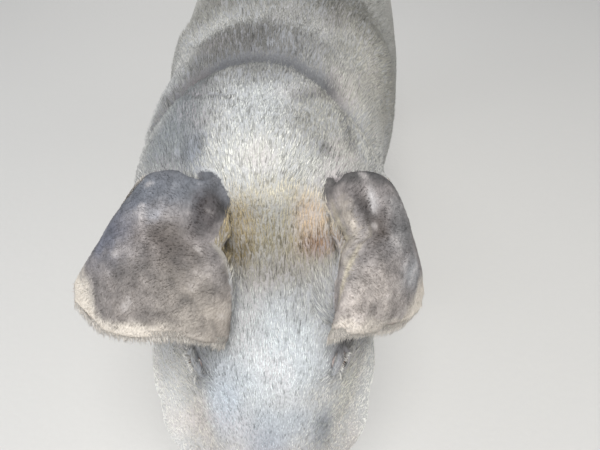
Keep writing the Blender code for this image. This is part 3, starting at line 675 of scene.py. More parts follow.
@dataclass
class EarMap:
    """Finds where on its ear a point lies."""

    ear: Ear
    points: Array = field(init=False)
    tree: BVHTree = field(init=False)

    def __post_init__(self) -> None:
        """Sets up the search in the ear's middle surface."""
        self.points = HEAD.turned(self.ear.sheet())
        rows, columns = self.points.shape[:2]
        faces = [
            (i * columns + j, i * columns + j + 1, (i + 1) * columns + j + 1, (i + 1) * columns + j)
            for i in range(rows - 1)
            for j in range(columns - 1)
        ]
        self.tree = BVHTree.FromPolygons([tuple(p) for p in self.points.reshape(-1, 3)], faces)

    def read(self, points: Array, reach: float) -> tuple[Array, Array]:
        """Reads the ear's own measures.

        Args:
            points: Places in the scene.
            reach: How far from the middle surface still counts.

        Returns:
            Rows of length share, width share and which face, and a mask of the points on the ear.
        """
        low = self.points.reshape(-1, 3).min(axis=0) - reach
        high = self.points.reshape(-1, 3).max(axis=0) + reach
        near = ((points > low) & (points < high)).all(axis=1)
        measures = np.zeros((len(points), 3))
        on = np.zeros(len(points), bool)
        rows, columns = self.points.shape[:2]
        for k in np.flatnonzero(near):
            place, normal, face, _ = self.tree.find_nearest(Vector(points[k]), reach)
            if face is None:
                continue
            i, j = divmod(face, columns - 1)
            over = 1.0 if (Vector(points[k]) - place).dot(normal) * self.ear.side > 0 else -1.0
            measures[k] = i / (rows - 2), 2 * j / (columns - 2) - 1, over
            on[k] = True
        return measures, on


@dataclass(frozen=True)
class Crease:
    """A fine fold in the neck's skin: its line from above, its depth and width, and how much painted
    shade it lays on hair and skin along the line.
    """

    line: tuple[tuple[float, float], ...]
    depth: float
    width: float
    shade: float

    def nearness(self, points: Array) -> Array:
        """Says how near each point of the neck's upper side lies to the line, from 0 to 1."""
        flat = points[:, :2]
        far = np.full(len(points), 9.0)
        path = np.array(self.line)
        for start, end in zip(path[:-1], path[1:]):
            way = end - start
            share = np.clip(((flat - start) @ way) / (way @ way), 0, 1)
            far = np.minimum(far, np.linalg.norm(flat - start - share[:, None] * way, axis=1))
        return valley(far, self.width) * ramp(points[:, 2], 0.60, 0.68)


# The last two creases have no depth: they are only painted shade in the valley behind the nape.
CREASES = (
    Crease(
        line=((-0.165, -0.302), (-0.120, -0.342), (-0.092, -0.359), (-0.045, -0.368)),
        depth=0.0014,
        width=0.0030,
        shade=0.70,
    ),
    Crease(
        line=((0.045, -0.352), (0.085, -0.322), (0.102, -0.336), (0.110, -0.362), (0.119, -0.408)),
        depth=0.0022,
        width=0.0085,
        shade=0.36,
    ),
    Crease(
        line=(
            (-0.177, -0.330),
            (-0.117, -0.292),
            (-0.067, -0.272),
            (-0.017, -0.266),
            (0.033, -0.272),
            (0.083, -0.292),
        ),
        depth=0.0,
        width=0.0170,
        shade=0.50,
    ),
    Crease(line=((0.083, -0.292), (0.110, -0.312), (0.143, -0.336)), depth=0.0, width=0.0120, shade=0.22),
)


@dataclass
class Flesh:
    """The animal's one skin, fused from its big forms and then sculpted."""

    voxel: float = 0.0055
    even_rounds: int = 14
    fillet_rounds: int = 90
    skin_depth: float = 0.0040
    eye_radius: float = 0.0140
    eye_gap: float = 0.0002
    eye_place: tuple[float, float] = (0.212, 0.036)
    coronet: float = 0.0465
    step: float = 0.030
    fore_foot: tuple[float, float] = (0.135, -0.205)
    hind_foot: tuple[float, float] = (0.138, 0.575)
    teats_a_side: int = 7
    # Trunk: y, height of the axis, half width, rise, drop, pear
    trunk_rows: Rows = (
        (0.842, 0.680, 0.020, 0.020, 0.030, 0.00),
        (0.832, 0.675, 0.075, 0.070, 0.110, 0.00),
        (0.795, 0.660, 0.135, 0.125, 0.165, 0.05),
        (0.720, 0.640, 0.186, 0.180, 0.205, 0.05),
        (0.600, 0.625, 0.218, 0.228, 0.232, 0.05),
        (0.430, 0.612, 0.236, 0.262, 0.268, 0.10),
        (0.230, 0.600, 0.242, 0.284, 0.300, 0.14),
        (0.030, 0.600, 0.238, 0.282, 0.298, 0.12),
        (-0.130, 0.600, 0.215, 0.266, 0.276, 0.06),
        (-0.250, 0.603, 0.203, 0.232, 0.262, 0.02),
        (-0.340, 0.610, 0.204, 0.208, 0.244, 0.02),
        (-0.420, 0.615, 0.201, 0.190, 0.212, 0.02),
        (-0.480, 0.615, 0.182, 0.164, 0.174, 0.00),
        (-0.520, 0.610, 0.130, 0.115, 0.120, 0.00),
        (-0.530, 0.610, 0.050, 0.050, 0.050, 0.00),
    )
    # Head: distance along it, half width, rise, drop, pear
    head_rows: Rows = (
        (-0.040, 0.060, 0.060, 0.080, 0.00),
        (-0.030, 0.120, 0.105, 0.140, 0.05),
        (0.000, 0.156, 0.138, 0.178, 0.12),
        (0.050, 0.160, 0.140, 0.194, 0.20),
        (0.110, 0.158, 0.126, 0.196, 0.26),
        (0.170, 0.154, 0.108, 0.188, 0.30),
        (0.230, 0.144, 0.086, 0.168, 0.34),
        (0.285, 0.118, 0.070, 0.134, 0.30),
        (0.340, 0.088, 0.060, 0.098, 0.20),
        (0.395, 0.067, 0.053, 0.066, 0.06),
        (0.430, 0.060, 0.051, 0.044, -0.04),
        (0.458, 0.059, 0.052, 0.037, -0.06),
        (0.475, 0.057, 0.050, 0.036, -0.06),
    )
    # Muscle and fat on both sides: middle and half sizes
    muscles: Rows = (
        (0.134, -0.150, 0.600, 0.088, 0.125, 0.210),
        (0.150, -0.150, 0.440, 0.060, 0.085, 0.090),
        (0.120, 0.660, 0.580, 0.108, 0.150, 0.190),
        (0.150, 0.520, 0.440, 0.070, 0.085, 0.110),
        (0.138, 0.687, 0.290, 0.022, 0.026, 0.040),
    )
    # Fat on the middle line, on the nape and the brisket
    middle_fat: Rows = (
        (0, -0.400, 0.725, 0.128, 0.120, 0.092),
        (0, -0.260, 0.400, 0.110, 0.120, 0.080),
    )
    # Jowls, brow and ear root by the head's measures, half sizes, and the pair's sag to her right
    face_mounds: Rows = (
        (0.230, 0.112, -0.086, 0.073, 0.120, 0.088, 0.015),
        (0.302, 0.092, -0.066, 0.075, 0.090, 0.064, 0.012),
        (0.348, 0.070, -0.050, 0.062, 0.068, 0.048, 0.008),
        (0.192, 0.066, 0.050, 0.046, 0.075, 0.042, 0.0),
        (0.066, 0.090, 0.092, 0.048, 0.066, 0.050, 0.0),
        (0.128, 0.100, 0.098, 0.042, 0.066, 0.054, 0.0),
    )
    # Chin, and the rim of the snout's disc
    nose_mounds: Rows = (
        (0.376, 0, -0.056, 0.048, 0.062, 0.034),
        (0.465, 0, 0.008, 0.061, 0.014, 0.047),
    )
    # Legs: height, x and y from the foot's middle, half width, half length
    fore_rows: Rows = (
        (0.600, -0.015, 0.030, 0.060, 0.110),
        (0.470, 0.002, 0.020, 0.078, 0.118),
        (0.400, 0.004, 0.012, 0.074, 0.100),
        (0.330, 0.004, 0.010, 0.058, 0.074),
        (0.270, 0.002, 0.006, 0.048, 0.056),
        (0.215, 0.000, 0.000, 0.045, 0.051),
        (0.175, 0.000, 0.004, 0.040, 0.044),
        (0.125, 0.000, 0.008, 0.034, 0.038),
        (0.090, 0.000, 0.012, 0.037, 0.044),
        (0.060, 0.000, 0.004, 0.037, 0.043),
        (0.040, 0.000, -0.004, 0.038, 0.044),
        (0.028, 0.000, -0.006, 0.036, 0.042),
    )
    hind_rows: Rows = (
        (0.620, -0.030, 0.030, 0.085, 0.160),
        (0.520, 0.000, 0.020, 0.092, 0.158),
        (0.430, 0.006, 0.012, 0.084, 0.134),
        (0.360, 0.006, 0.026, 0.064, 0.100),
        (0.310, 0.004, 0.054, 0.049, 0.074),
        (0.270, 0.002, 0.070, 0.040, 0.056),
        (0.225, 0.000, 0.066, 0.036, 0.045),
        (0.165, 0.000, 0.048, 0.033, 0.038),
        (0.105, 0.000, 0.030, 0.036, 0.043),
        (0.070, 0.000, 0.016, 0.037, 0.043),
        (0.042, 0.000, 0.002, 0.038, 0.045),
        (0.028, 0.000, -0.002, 0.036, 0.043),
    )
    # Mouth's line: distance along the head, height from its axis
    mouth: Rows = (
        (0.335, -0.050),
        (0.350, -0.052),
        (0.372, -0.044),
        (0.395, -0.035),
        (0.414, -0.030),
        (0.430, -0.028),
    )
    # Tail's middle and radius
    tail_rows: Rows = (
        (0.000, 0.780, 0.720, 0.0190),
        (0.000, 0.828, 0.742, 0.0175),
        (0.000, 0.866, 0.738, 0.0155),
        (0.002, 0.888, 0.700, 0.0140),
        (0.010, 0.886, 0.654, 0.0125),
        (0.026, 0.868, 0.622, 0.0112),
        (0.050, 0.862, 0.618, 0.0102),
        (0.066, 0.874, 0.644, 0.0094),
        (0.060, 0.900, 0.660, 0.0085),
        (0.046, 0.922, 0.636, 0.0076),
        (0.044, 0.926, 0.596, 0.0066),
    )
    eyes: dict[int, tuple[Vector, Vector]] = field(default_factory=dict)

    def trunk(self) -> Mesh:
        """Makes the trunk and neck."""
        rings = []
        for y, height, width, rise, drop, pear in eased_rows(self.trunk_rows, 70):
            x, h = section(width, rise, drop, pear, 56)
            rings.append(np.stack([x, np.full_like(x, y), height + h], axis=1))
        return loft(rings)

    def head(self) -> Mesh:
        """Makes the head before its turn."""
        rings = []
        for t, width, rise, drop, pear in eased_rows(self.head_rows, 50):
            x, h = section(width, rise, drop, pear, 48)
            rings.append(HEAD.point(t, x, h))
        return loft(rings)

    def stride(self, hind: bool, side: int) -> float:
        """Says how far forward a foot is set."""
        if hind:
            return -self.step / 2 if side > 0 else self.step
        return self.step if side > 0 else -self.step / 2

    def leg(self, hind: bool, side: int) -> Mesh:
        """Makes one leg, with its foot set a little ahead or behind.

        Args:
            hind: Whether it is a hind leg.
            side: 1 for her left.

        Returns:
            The closed mesh.
        """
        rings = []
        foot = self.hind_foot if hind else self.fore_foot
        rows = self.hind_rows if hind else self.fore_rows
        for height, x0, y0, width, length in eased_rows(rows, 40):
            x, y = section(width, length, length, 0, 28, 2.0)
            share = 1 - min(1, height / 0.45)
            middle = foot[1] + y0 - self.stride(hind, side) * share
            across = side * (foot[0] + x0) + x
            rings.append(np.stack([across, middle + y, np.full_like(x, height)], axis=1))
        return loft(rings)

    @staticmethod
    def mound(t: float, x: float, h: float, radii: Sequence[float]) -> Mesh:
        """Makes a ball set by the head's own measures."""
        return ball(HEAD.point(t, x, h), radii, Matrix.Rotation(HEAD.pitch, 3, "X"), 24)

    def forms(self) -> list[Mesh]:
        """Gives every big form that the skin is fused from."""
        made = [self.trunk(), self.head()]
        for side in (1, -1):
            made += [self.leg(False, side), self.leg(True, side)]
            made += [ball((side * x, y, z), radii) for x, y, z, *radii in self.muscles]
            made += [self.mound(t, side * x - sag, h, radii) for t, x, h, *radii, sag in self.face_mounds]
        made += [ball((x, y, z), radii) for x, y, z, *radii in self.middle_fat]
        made += [self.mound(t, x, h, radii) for t, x, h, *radii in self.nose_mounds]
        return made

    def smooth(self, mesh: Mesh) -> None:
        """Fills the hollows between the forms and evens the whole."""
        ends = edge_ends(mesh)
        points = read_points(mesh)
        for turn in range(self.fillet_rounds):
            if turn % 10 == 0:
                write_points(mesh, points)
                normals = read_points(mesh, "normal")
            step = pull(points, ends, 0.5)
            out = np.maximum((step * normals).sum(axis=1), 0)
            points += normals * (out * self.fillet_share(points))[:, None]
            points += step * 0.04
        for _ in range(self.even_rounds):
            points += pull(points, ends, 0.5)
            points -= pull(points, ends, 0.5) * 0.6
        write_points(mesh, points)

    @staticmethod
    def fillet_share(points: Array) -> Array:
        """Says how fully hollows are filled: less on the cheeks, least on the face and the feet."""
        y, z = points[:, 1], points[:, 2]
        face = np.clip((HEAD.back[0] - y) / 0.2, 0, 1)
        cheek = np.clip((0.53 - z) / 0.06, 0, 1) * np.clip((y + 0.76) / 0.05, 0, 1)
        foot = np.clip((0.12 - z) / 0.05, 0, 1)
        return 1 - 0.75 * np.maximum(face * (1 - 0.6 * cheek), foot)

    def fold(self, mesh: Mesh) -> None:
        """Presses the big folds of neck, flank and elbow in, and lays the skin under the coat."""
        points, normals = read_points(mesh), read_points(mesh, "normal")
        x, y, z = points.T
        side = np.abs(x)
        upper = np.clip((z - 0.52) / 0.16, 0, 1)
        sway = cloudy(points, 9) * 0.006
        deep = y + sway - (-0.274 - 2.4 * side**2)
        broad = y + sway - (-0.178 - 0.2 * side**2)
        sink = 0.019 * valley(deep, 0.024) * upper
        sink += 0.013 * valley(broad, 0.042) * upper
        flank = np.hypot(y - 0.405, (z - 0.470) * 0.6)
        sink += 0.022 * valley(flank, 0.055) * np.clip(side / 0.15, 0, 1)
        elbow = np.hypot(y + 0.055, (z - 0.430) * 0.55)
        sink += 0.014 * valley(elbow, 0.040) * np.clip(side / 0.15, 0, 1)
        # The groove along the spine, and the cleft below the tail
        along_back = np.clip((z - 0.7) / 0.1, 0, 1) * np.clip((y + 0.1) / 0.2, 0, 1)
        sink += 0.004 * valley(x, 0.030) * along_back
        below_tail = np.clip((y - 0.74) / 0.06, 0, 1) * np.clip((0.66 - z) / 0.1, 0, 1)
        sink += 0.016 * valley(x, 0.020) * below_tail
        # Ribs and muscle show softly through the fat
        sink += 0.0022 * cloudy(points, 11, 7.0) * ramp(z, 0.30, 0.45)
        bare = np.maximum(ramp(-y, 0.62, 0.80), ramp(0.10 - z, 0, 0.05))
        sink += self.skin_depth * (1 - 0.6 * bare)
        write_points(mesh, points - normals * sink[:, None])

    @staticmethod
    def turn_neck(points: Array) -> Array:
        """Swings the head to her left about the neck."""
        share = np.clip((-0.280 - points[:, 1]) / 0.160, 0, 1)
        angle = HEAD.turn * share * share * (3 - 2 * share)
        c, s = np.cos(angle), np.sin(angle)
        x, y = points[:, 0], points[:, 1] - HEAD.pivot
        sway = -0.017 * valley(points[:, 1] + 0.320, 0.140)
        return np.stack([c * x - s * y + sway, HEAD.pivot + s * x + c * y, points[:, 2]], axis=1)

    def refine_head(self, obj: Thing) -> None:
        """Halves the size of the head's faces, so that it can hold its small forms."""
        bm = bmesh.new()
        bm.from_mesh(obj.data)
        edges = [e for e in bm.edges if min(v.co.y for v in e.verts) < -0.46]
        bmesh.ops.subdivide_edges(bm, edges=edges, cuts=1, use_grid_fill=True, smooth=0.6)
        bm.to_mesh(obj.data)
        bm.free()

    def tail_path(self, count: int) -> tuple[list[Vector], list[float]]:
        """Gives points along the tail's middle, and its radius at each."""
        keys = np.array(self.tail_rows)
        at = np.linspace(0, len(keys) - 1, count)
        columns = [eased(np.arange(len(keys)), keys[:, k], at) for k in range(4)]
        return [Vector(p) for p in zip(*columns[:3])], list(columns[3] * 0.94)

    def teats(self, tree: BVHTree) -> list[Mesh]:
        """Makes both rows of teats under the belly."""
        made = []
        for side in (1, -1):
            for i in range(self.teats_a_side):
                x, y = side * (0.070 + 0.010 * math.sin(i * 1.3)), -0.075 + i * 0.082
                point, _, _, _ = tree.ray_cast(Vector((x, y, 0.05)), Vector((0, 0, 1)))
                downs = (0.012, 0.004, -0.002, -0.009, -0.016, -0.021, -0.0235)
                path = [point + Vector((side * 0.10 * d, 0, d)) for d in downs]
                made.append(tube(path, (0.016, 0.0135, 0.0100, 0.0078, 0.0070, 0.0060, 0.0030), 16))
        return made

    def eye_axes(self, side: int) -> tuple[Vector, Vector]:
        """Gives an eye's own ways along the lids and up across them."""
        normal = self.eyes[side][1]
        ahead = HEAD.axes(side)[1]
        along = (ahead - normal * ahead.dot(normal)).normalized()
        across = normal.cross(along)
        return along, across if across.z > 0 else -across

    def lid_ring(self, side: int) -> Mesh:
        """Makes the lids: an almond ring with a heavy upper lid that wraps the eyeball."""
        centre, normal = self.eyes[side]
        along, across = self.eye_axes(side)
        rings = []
        for i in range(72):
            a = i / 72 * 2 * math.pi
            upper = max(math.sin(a), 0)
            c, s = math.cos(a), math.sin(a)
            corner = abs(c) ** 6
            spoke = along * c * 0.98 + across * s * (0.62 - 0.10 * upper)
            rim = centre + spoke * self.eye_radius
            height = math.sqrt(max(1.06 - min(spoke.length, 1.0) ** 2, 0.10))
            rim += normal * self.eye_radius * (height - 0.10 * corner)
            outward = (along * c * 1.2 + across * s).normalized()
            ring = []
            fat = 0.0044 + 0.0022 * upper
            middle = rim + outward * (fat * 0.92) - normal * (fat * 0.55)
            for j in range(14):
                b = j / 14 * 2 * math.pi
                wide, high = math.cos(b) * fat * 1.05, math.sin(b) * fat * 0.85
                ring.append(middle + outward * wide + normal * high)
            rings.append(ring)
        points = [tuple(p) for ring in rings for p in ring]
        return mesh_of(points, ring_faces(72, 14, closed=True), "lids")

    def mouth_cuts(self, tree: BVHTree) -> list[Mesh]:
        """Makes the cutters for the line between the lips along both sides."""
        keys = np.array(self.mouth)
        t = np.linspace(keys[0, 0], keys[-1, 0], 30)
        h = eased(keys[:, 0], keys[:, 1], t)
        made = []
        for side in (1, -1):
            path = [HEAD.met(tree, side, a, b)[0] for a, b in zip(t, h)]
            made.append(tube(path, [0.0008 + 0.0026 * min(1, i / 7) for i in range(len(path))], 12))
        return made

    def nostril(self, side: int) -> Mesh:
        """Makes the cutter for one nostril, a little comma shaped."""
        mesh = ball((0, 0, 0), (0.0088, 0.022, 0.0112), None, 28)
        points = read_points(mesh)
        points[:, 0] += 0.35 * np.maximum(points[:, 2], 0)
        write_points(mesh, points)
        return HEAD.set_on(mesh, side, 0.471, side * 0.0230, 0.004)

    def soften(self, obj: Thing, share: Array, rounds: int) -> None:
        """Smooths an object's surface where share is above 0.

        Args:
            obj: The object.
            share: How strongly each vertex takes part.
            rounds: How often.
        """
        ends = edge_ends(obj.data)
        points = read_points(obj.data)
        for _ in range(rounds):
            points += pull(points, ends, 0.5) * share[:, None]
        write_points(obj.data, points)

    def near(self, points: Array, tree: BVHTree, reach: float) -> Array:
        """Measures nearness to a surface.

        Args:
            points: The points.
            tree: The surface.
            reach: Where nearness ends.

        Returns:
            1 on the surface, falling to 0 at reach.
        """
        found = np.zeros(len(points))
        for k, point in enumerate(points):
            _, _, _, distance = tree.find_nearest(Vector(point), reach)
            if distance is not None:
                found[k] = 1 - distance / reach
        return found

    def add_ears(self, obj: Thing) -> None:
        """Joins the ears to the head and rounds the skin where they leave it."""
        body = surface(obj.data)
        leaves = [EARS[side].leaf() for side in (1, -1)]
        trees = [surface(leaf) for leaf in leaves]
        boolean(obj, leaves, "UNION")
        points = read_points(obj.data)
        share = np.zeros(len(points))
        box = np.flatnonzero((points[:, 1] < -0.40) & (points[:, 1] > -0.72) & (points[:, 2] > 0.56))
        on_body = self.near(points[box], body, 0.018)
        for tree in trees:
            share[box] = np.maximum(share[box], on_body * self.near(points[box], tree, 0.018))
        self.soften(obj, np.clip(share * 2.4, 0, 1), 36)

    def wrinkle(self, obj: Thing) -> None:
        """Works the small folds into the skin: neck, snout, brow, cheek and round the eyes."""
        points, normals = read_points(obj.data), read_points(obj.data, "normal")
        for crease in CREASES:
            points -= normals * (crease.nearness(points) * crease.depth)[:, None]
        head = np.flatnonzero(points[:, 1] < -0.47)
        p = points[head]
        t, x, h = HEAD.measures(p)
        wobble = cloudy(p, 22) * 0.010 + cloudy(p, 60) * 0.003
        crease = np.abs(np.sin((t + wobble + 0.4 * x * x / 0.06) * math.pi / 0.0145))
        top = ramp(h, 0.005, 0.035)
        muzzle = ramp(t, 0.285, 0.325) * (1 - ramp(t, 0.445, 0.458)) * top
        sink = 0.0017 * (1 - crease**0.6) * muzzle
        # Folds that fan out behind the corner of the mouth and under the eye
        corner = np.hypot(t - 0.335, h + 0.050)
        fan = np.abs(np.sin((corner + wobble * 0.6) * math.pi / 0.017))
        cheek = valley(corner - 0.036, 0.024) * ramp(0.335 - t, -0.02, 0.02)
        sink += 0.0016 * (1 - fan**0.6) * cheek
        eye = np.full(len(p), 9.0)
        for centre, _ in self.eyes.values():
            eye = np.minimum(eye, np.linalg.norm(p - np.array(centre), axis=1))
        bags = np.abs(np.sin((eye + wobble * 0.35) * math.pi / 0.0085))
        sink += 0.0011 * (1 - bags**0.6) * valley(eye - 0.034, 0.012)
        # A shallow dish between the brows, and the disc's rim
        sink += 0.0035 * valley(x, 0.022) * valley(t - 0.215, 0.050) * top
        sink += 0.0016 * valley(t - 0.447, 0.0045) * ramp(h, -0.03, 0.0)
        # Loose skin of the jowls
        sink += 0.0018 * cloudy(p, 30, 4.0) * ramp(-h, 0.0, 0.06) * (1 - ramp(t, 0.30, 0.36))
        points[head] = p - normals[head] * sink[:, None]
        write_points(obj.data, points)

    def build(self) -> Thing:
        """Fuses, smooths and sculpts the skin.

        Returns:
            The skin, before it is moved to its place.
        """
        obj = joined("skin", self.forms())
        step = obj.modifiers.new("fuse", "REMESH")
        step.mode = "VOXEL"
        step.voxel_size = self.voxel
        settle(obj)
        self.smooth(obj.data)
        self.fold(obj.data)
        write_points(obj.data, self.turn_neck(read_points(obj.data)))
        self.refine_head(obj)
        LOG.info("flesh: %d faces", len(obj.data.polygons))
        tree = surface(obj.data)
        for side, word in SIDES:
            low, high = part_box(f"eye_{word}")
            _, normal = HEAD.met(tree, side, *self.eye_place, toward=(1.0, 0.20, 0.30))
            self.eyes[side] = ((Vector(low) + Vector(high)) / 2 + MIDDLE, normal)
        self.add_ears(obj)
        path, radii = self.tail_path(90)
        lids = [self.lid_ring(side) for side in (1, -1)]
        boolean(obj, self.teats(tree) + [tube(path, radii, 24)] + lids, "UNION")
        self.soften_joins(obj)
        hollow = (self.eye_radius + self.eye_gap,) * 3
        sockets = [ball(centre, hollow, None, 48) for centre, _ in self.eyes.values()]
        nostrils = [self.nostril(1), self.nostril(-1)]
        boolean(obj, sockets + nostrils + self.mouth_cuts(tree), "DIFFERENCE")
        lip = ball((0, 0, 0), (0.044, 0.012, 0.0030), None, 32)
        boolean(obj, [HEAD.set_on(lip, 1, 0.4335, 0, self.mouth[-1][1])], "DIFFERENCE")
        self.open_feet(obj)
        self.wrinkle(obj)
        return obj

    def open_feet(self, obj: Thing) -> None:
        """Cuts the skin off level where the claws begin."""
        corners = ((0.08, 0.09), (-0.08, 0.09), (-0.08, -0.09), (0.08, -0.09))
        for hind, foot in ((False, self.fore_foot), (True, self.hind_foot)):
            for side in (1, -1):
                x, y = side * foot[0], foot[1] - self.stride(hind, side)
                box = [[(x + a, y + b, z) for a, b in corners] for z in (-0.05, self.coronet)]
                boolean(obj, [loft(box)], "DIFFERENCE")

    def soften_joins(self, obj: Thing) -> None:
        """Rounds the skin round the lids, the teats' roots and the tail's root."""
        points = read_points(obj.data)
        share = np.zeros(len(points))
        for centre, _ in self.eyes.values():
            radius = np.linalg.norm(points - np.array(centre), axis=1)
            share = np.maximum(share, valley(radius - 0.0250, 0.0055))
        tail_root = np.linalg.norm(points - np.array((0, 0.838, 0.738)), axis=1)
        share = np.maximum(share, valley(tail_root, 0.028))
        belly = ramp(-points[:, 2], -0.335, -0.30) * ramp(0.11 - np.abs(points[:, 0]), 0, 0.02)
        share = np.maximum(share, belly * 0.6)
        self.soften(obj, np.clip(share * 1.4, 0, 1), 8)


@dataclass(frozen=True)
class Patch:
    """A soft-edged marking: its middle and reach, along and across, and its colour."""

    along: float
    across: float
    reach_along: float
    reach_across: float
    colour: Triple
    strength: float


@dataclass(frozen=True)
class Markings:
    """The colours of bristle and skin over the whole animal, shared by both."""

    bristle: Triple = (0.58, 0.575, 0.555)
    trunk: Triple = (0.35, 0.342, 0.308)
    cheek: Triple = (0.92, 0.91, 0.86)
    cream: Triple = (0.80, 0.75, 0.66)
    dirt: Triple = (0.30, 0.24, 0.17)
    slate: Triple = (0.20, 0.21, 0.24)
    shadow: Triple = (0.115, 0.112, 0.108)
    pink: Triple = (0.42, 0.31, 0.29)
    ear_dark: Triple = (0.21, 0.19, 0.185)
    ear_rim: Triple = (0.70, 0.635, 0.55)
    ear_mottle: Triple = (0.40, 0.365, 0.35)
    ear_lump: Triple = (0.50, 0.465, 0.45)
    ear_under: Triple = (0.45, 0.36, 0.34)
    snout_disc: Triple = (0.43, 0.295, 0.285)
    nostril: Triple = (0.10, 0.06, 0.06)
    teats: Triple = (0.46, 0.33, 0.31)
    # On the neck: along the body and across it
    neck_patches: tuple[Patch, ...] = (
        Patch(-0.200, 0.160, 0.100, 0.070, (0.54, 0.52, 0.455), 0.75),
        Patch(-0.350, 0.115, 0.090, 0.055, (0.56, 0.545, 0.49), 0.75),
        Patch(-0.290, -0.170, 0.060, 0.040, (0.53, 0.535, 0.54), 0.70),
        # Partly painted shade and partly darker, dirtier coat: a dark band where the back begins behind
        # the neck.
        Patch(-0.118, 0.020, 0.058, 0.180, (0.120, 0.116, 0.100), 0.80),
        # Painted shade: the next three rows darken the valley behind the nape and the nape's left side.
        Patch(-0.246, -0.045, 0.044, 0.100, (0.115, 0.110, 0.100), 0.84),
        Patch(-0.316, -0.102, 0.044, 0.042, (0.125, 0.130, 0.130), 0.88),
        Patch(-0.400, -0.115, 0.085, 0.045, (0.222, 0.246, 0.262), 0.85),
        Patch(-0.385, -0.010, 0.095, 0.043, (0.72, 0.735, 0.72), 0.95),
        Patch(-0.475, 0.014, 0.048, 0.073, (0.80, 0.795, 0.745), 0.95),
        Patch(-0.318, -0.014, 0.030, 0.060, (0.30, 0.297, 0.285), 0.88),
        Patch(-0.385, 0.068, 0.052, 0.032, (0.45, 0.44, 0.395), 0.75),
        Patch(-0.452, -0.084, 0.029, 0.020, (0.19, 0.205, 0.23), 0.78),
        Patch(-0.434, 0.082, 0.009, 0.010, (0.20, 0.20, 0.19), 0.70),
    )
    # On the head: along it and across it
    patches: tuple[Patch, ...] = (
        # Painted shade on the head under the rolled top edge of her left ear.
        Patch(0.004, 0.100, 0.012, 0.030, (0.15, 0.15, 0.155), 0.80),
        Patch(0.160, 0.000, 0.040, 0.070, (0.56, 0.565, 0.56), 0.70),
        Patch(0.076, 0.012, 0.052, 0.100, (0.380, 0.328, 0.203), 0.88),
        Patch(0.026, 0.015, 0.012, 0.070, (0.82, 0.76, 0.61), 0.70),
        Patch(0.120, 0.005, 0.026, 0.050, (0.40, 0.375, 0.33), 0.70),
        Patch(0.066, -0.034, 0.042, 0.026, (0.46, 0.372, 0.220), 0.92),
        Patch(0.095, -0.034, 0.020, 0.022, (0.25, 0.195, 0.10), 0.85),
        Patch(0.056, 0.060, 0.030, 0.024, (0.74, 0.575, 0.41), 0.90),
        Patch(0.088, 0.070, 0.015, 0.028, (0.36, 0.225, 0.145), 0.85),
        Patch(0.050, -0.074, 0.040, 0.016, (0.33, 0.305, 0.29), 0.85),
        # Painted shade: a dark line where the face meets her left ear.
        Patch(0.150, 0.090, 0.050, 0.010, (0.15, 0.15, 0.145), 0.60),
        # The face's top: pale hair, made bluish white by painted sheen.
        Patch(0.232, 0.012, 0.072, 0.060, (0.90, 0.95, 0.97), 0.97),
        Patch(0.318, 0.000, 0.030, 0.060, (0.56, 0.63, 0.70), 0.55),
        Patch(0.280, -0.058, 0.050, 0.030, (0.74, 0.81, 0.88), 0.80),
        Patch(0.290, 0.112, 0.070, 0.020, (0.66, 0.64, 0.54), 0.70),
        Patch(0.290, -0.135, 0.075, 0.022, (0.74, 0.72, 0.66), 0.70),
        Patch(0.236, -0.084, 0.030, 0.014, (0.20, 0.20, 0.20), 0.65),
        Patch(0.262, -0.098, 0.016, 0.010, (0.20, 0.20, 0.20), 0.50),
        Patch(0.226, 0.099, 0.030, 0.014, (0.24, 0.23, 0.23), 0.70),
        Patch(0.336, 0.004, 0.018, 0.026, (0.43, 0.475, 0.53), 0.75),
        # Painted shade between the snout's bridge and her left cheek.
        Patch(0.328, 0.074, 0.028, 0.014, (0.22, 0.24, 0.25), 0.65),
    )
    ear_patches: dict[int, tuple[Patch, ...]] = field(
        default_factory=lambda: {
            -1: (
                Patch(0.30, 0.78, 0.42, 0.55, (0.328, 0.292, 0.253), 0.95),
                Patch(0.60, 0.50, 0.20, 0.45, (0.188, 0.166, 0.152), 0.85),
                # The upper band of her right ear: dark hair tinted blue-grey by painted sheen.
                Patch(0.34, -0.85, 0.42, 0.50, (0.108, 0.118, 0.137), 0.95),
                Patch(0.66, -0.40, 0.17, 0.50, (0.118, 0.127, 0.165), 0.90),
                Patch(0.36, 0.40, 0.16, 0.20, (0.150, 0.130, 0.112), 0.62),
                Patch(0.29, 0.02, 0.15, 0.27, (0.074, 0.061, 0.051), 0.90),
                Patch(0.36, -0.32, 0.05, 0.11, (0.338, 0.338, 0.365), 0.75),
                # Painted shade in the groove at her right ear's root.
                Patch(0.13, -0.48, 0.070, 0.36, (0.037, 0.029, 0.028), 0.95),
                Patch(0.00, 0.10, 0.045, 0.70, (0.340, 0.309, 0.248), 0.80),
            ),
            1: (
                Patch(0.52, -0.38, 0.14, 0.52, (0.192, 0.189, 0.189), 0.90),
                Patch(0.52, 0.66, 0.34, 0.42, (0.42, 0.375, 0.343), 0.95),
                Patch(0.74, 0.12, 0.11, 0.32, (0.330, 0.333, 0.346), 0.80),
                Patch(0.32, -0.08, 0.085, 0.26, (0.066, 0.053, 0.045), 0.90),
                # Painted shade in the groove near her left ear's root.
                Patch(0.235, -0.40, 0.042, 0.34, (0.040, 0.034, 0.031), 0.92),
                Patch(0.150, -0.22, 0.024, 0.46, (0.476, 0.423, 0.361), 0.85),
                Patch(0.08, -0.20, 0.030, 0.60, (0.476, 0.423, 0.321), 0.85),
                Patch(0.22, 0.35, 0.035, 0.40, (0.476, 0.423, 0.321), 0.80),
                Patch(0.30, -0.58, 0.030, 0.20, (0.449, 0.435, 0.435), 0.85),
                # Painted shade along the rolled top edge of her left ear.
                Patch(0.26, -1.00, 0.34, 0.21, (0.048, 0.048, 0.047), 0.94),
            ),
        }
    )

